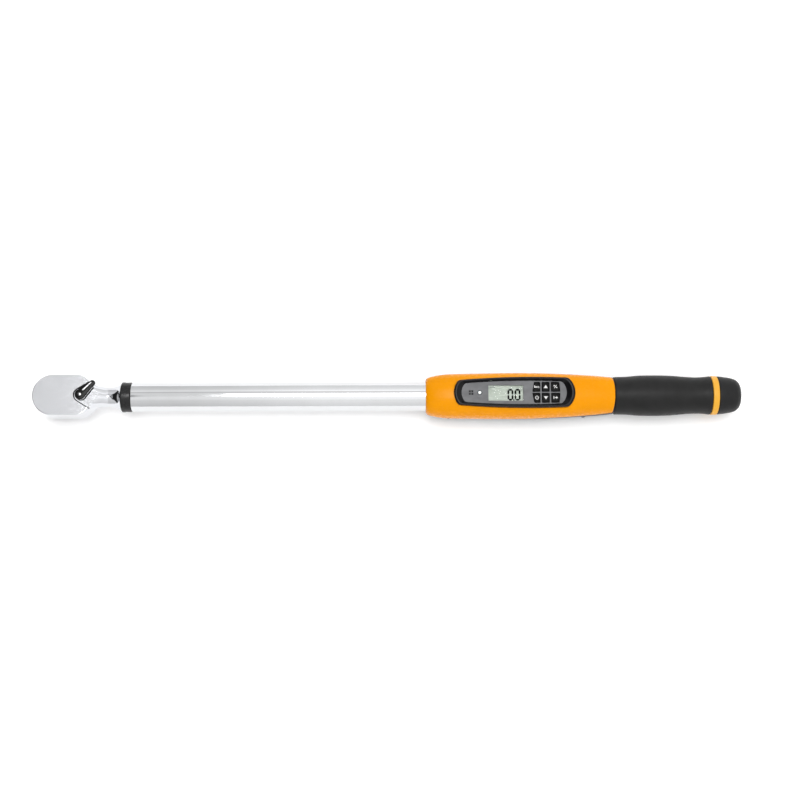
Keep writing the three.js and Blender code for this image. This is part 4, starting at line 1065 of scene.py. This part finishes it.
def barrel(outline, grow=0.0):
    """Closed outline of four bowed sides; averaging along it eases the four corners."""
    (left_x, left_y), (right_x, right_y) = outline["left"], outline["right"]
    middle = (left_x + right_x) / 2
    far_left, far_right = (left_x - grow / 2, left_y + grow), (right_x + grow / 2, right_y + grow)
    near_left, near_right = (far_left[0], -far_left[1]), (far_right[0], -far_right[1])
    points = np.concatenate([
        arc_through(near_left, (middle, -outline["mid"] - grow), near_right, 180),
        arc_through(near_right, (outline["x1"] + grow, 0), far_right, 48),
        arc_through(far_right, (middle, outline["mid"] + grow), far_left, 180),
        arc_through(far_left, (outline["x0"] - grow, 0), near_left, 48)])
    for _ in range(3):
        points = (np.roll(points, 1, 0) + 2 * points + np.roll(points, -1, 0)) / 4
        points = (np.roll(points, 2, 0) + 2 * points + np.roll(points, -2, 0)) / 4
    return points


def make_bezel():
    outer, rim, panel = barrel(BEZEL_OUTLINE), barrel(RIM_OUTLINE), barrel(PANEL_OUTLINE)
    seat = barrel(PANEL_OUTLINE, BEZEL_SEAT["grow"])
    levels = [(outer + (rim - outer) * share, z) for share, z in BEZEL_CROWN]
    levels += [(rim + (panel - rim) * share, z) for share, z in BEZEL_FUNNEL]
    levels += [(seat, z) for z in BEZEL_SEAT["heights"]]
    grid = upright([outline for outline, _ in levels], [z for _, z in levels])
    finished("bezel", grid, "bezel_black", "bezel_black", wrap=(True, True),
          sharp=math.radians(50))


def plates(name, polygons, low, high, look, slot, body=BODY):
    """One piece of several flat outlines, each raised from low to high."""
    parts = [surface(upright([polygon, polygon], [low, high]), caps=(True, True)) for polygon in polygons]
    return mesh_piece(name, *joined(parts), look, slot, body)


def bar(x0, y0, x1, y1, half):
    """Straight bar between two points with pointed ends, as display segments have."""
    start, end = np.array((x0, y0), float), np.array((x1, y1), float)
    along = (end - start) / np.linalg.norm(end - start) * half
    side = np.array((-along[1], along[0]))
    return np.array([start, start + along - side, end - along - side, end, end - along + side,
            start + along + side])


def digit_zero(left):
    """The six lit bars of a nought."""
    half, gap = DIGIT["bar"] / 2, DIGIT["gap"]
    x0, x1 = left + half, left + DIGIT["width"] - half
    y0, y1 = DIGIT["bottom"] + half, DIGIT["bottom"] + DIGIT["height"] - half
    middle = (y0 + y1) / 2
    return [bar(x0 + gap, y0, x1 - gap, y0, half), bar(x0 + gap, y1, x1 - gap, y1, half),
            bar(x0, y0 + gap, x0, middle - gap, half), bar(x0, middle + gap, x0, y1 - gap, half),
            bar(x1, y0 + gap, x1, middle - gap, half), bar(x1, middle + gap, x1, y1 - gap, half)]


def make_display():
    first, second = DIGIT["left"]
    start, end = (second + x for x in POINT["x"])
    point = block(start, end, DIGIT["bottom"], DIGIT["bottom"] + POINT["height"])
    plates("display_digits", [*digit_zero(first), *digit_zero(second), point], LCD_TOP, LCD_TOP + 0.05,
           "lcd_ink",
           "lcd_green")
    signs = []
    for i in range(SIGNS["count"]):
        start, end = (x + SIGNS["pitch"] * i for x in SIGNS["x"])
        signs.append(block(start, end, *SIGNS["y"]))
    low, high = box_mm("lcd_module")
    # Painted shadow: a dark strip along the LCD's far edge, standing in for the shade that the edge of the
    # panel's window casts on the recessed LCD.
    painted_shadow_strip = (low[0] + SHADOW_STRIP_INSET, high[0] - SHADOW_STRIP_INSET, high[1] - SIGNS["painted_shadow_strip"], high[1] - SHADOW_STRIP_INSET)
    signs.append(block(*painted_shadow_strip))
    plates("display_signs_and_shadow", signs, LCD_TOP, LCD_TOP + 0.04, "lcd_ink", "lcd_green")
    finished("status_light", turned_z(LIGHT_DOME, centre=(LIGHT_X, 0), count=40), "light_white",
          "light_white")
    rim = filleted(LIGHT_RIM, 0.12)
    piece("status_light_rim", turned_z(rim, centre=(LIGHT_X, 0), count=40), "bezel_black", "bezel_black",
          wrap=(True, True))


def key_outline(column, row, inset):
    """Rounded outline of one key."""
    x0, x1, slant_left, slant_right = KEY_COLUMNS[column]
    corners = np.array([(x0, KEY_NEAR), (x1, KEY_NEAR), (x1 - slant_right, KEY_FAR),
            (x0 + slant_left, KEY_FAR)])
    if row == 1:
        corners = (corners * (1, -1))[::-1]
    return filleted(inset_corners(corners, inset), max(KEY_CORNER - inset, KEY_CORNER_LEAST))


def ring_outline(inner, outer, start, end, count=20):
    """Part of a flat ring, from one angle to another."""
    angle = np.radians(np.linspace(start, end, count))
    edge = np.column_stack([np.cos(angle), np.sin(angle)])
    return np.concatenate([edge * outer, edge[::-1] * inner])


KEY_MARKS = {
    "key_memory": [block(-2.3, -1.6, -1.1, 1.2), block(-1.2, -0.6, -1.1, 0.5),
        block(-0.2, 0.4, -1.1, 0.5), block(0.8, 2.2, -1.1, -0.6),
        block(0.8, 2.2, 0.0, 0.5)],
    "key_up": [np.array([(-1.9, -1.3), (1.9, -1.3), (0, 1.7)])],
    "key_units": [np.array([(-1.4, -1.4), (-0.75, -1.4), (1.3, 1.5), (0.65, 1.5)]),
        block(-1.7, -0.6, 0.4, 1.4), block(0.5, 1.6, -1.3, -0.3)],
    "key_power": [ring_outline(1.15, 1.75, 125, 415), block(-0.3, 0.3, 0.3, 2.1)],
    "key_down": [np.array([(-1.9, 1.3), (0, -1.7), (1.9, 1.3)])],
    "key_mode": [block(-2.0, -1.4, -1.3, 1.4), block(-1.0, 0.6, -0.3, 0.4),
        np.array([(0.6, -1.2), (2.2, 0.05), (0.6, 1.3)])],
}


def make_keys():
    for row, names in enumerate(KEY_NAMES):
        for column, name in enumerate(names):
            grid = upright([key_outline(column, row, inset) for inset, _ in KEY_LEVELS],
                    [z for _, z in KEY_LEVELS])
            finished(name, grid, "key_black", "key_black", name + "_cap", caps=(True, True),
                     sharp=math.radians(50))
            middle = key_outline(column, row, 0).mean(0)
            plates(name + "_mark", [mark + middle for mark in KEY_MARKS[name]], KEY_TOP - 0.03,
                   KEY_TOP + 0.04,
                   "marks", "light_white", name + "_cap")


make_shells()
make_bezel()
make_display()
make_keys()

# ---- CAD pieces that keep their shape

for node, thing in frame["nodes"].items():
    slot = next(s["material_slot"] for s in frame["record"]["subparts"] if s["node"] == node)
    thing.data.materials.clear()
    thing.data.materials.append(LOOKS[slot].material)
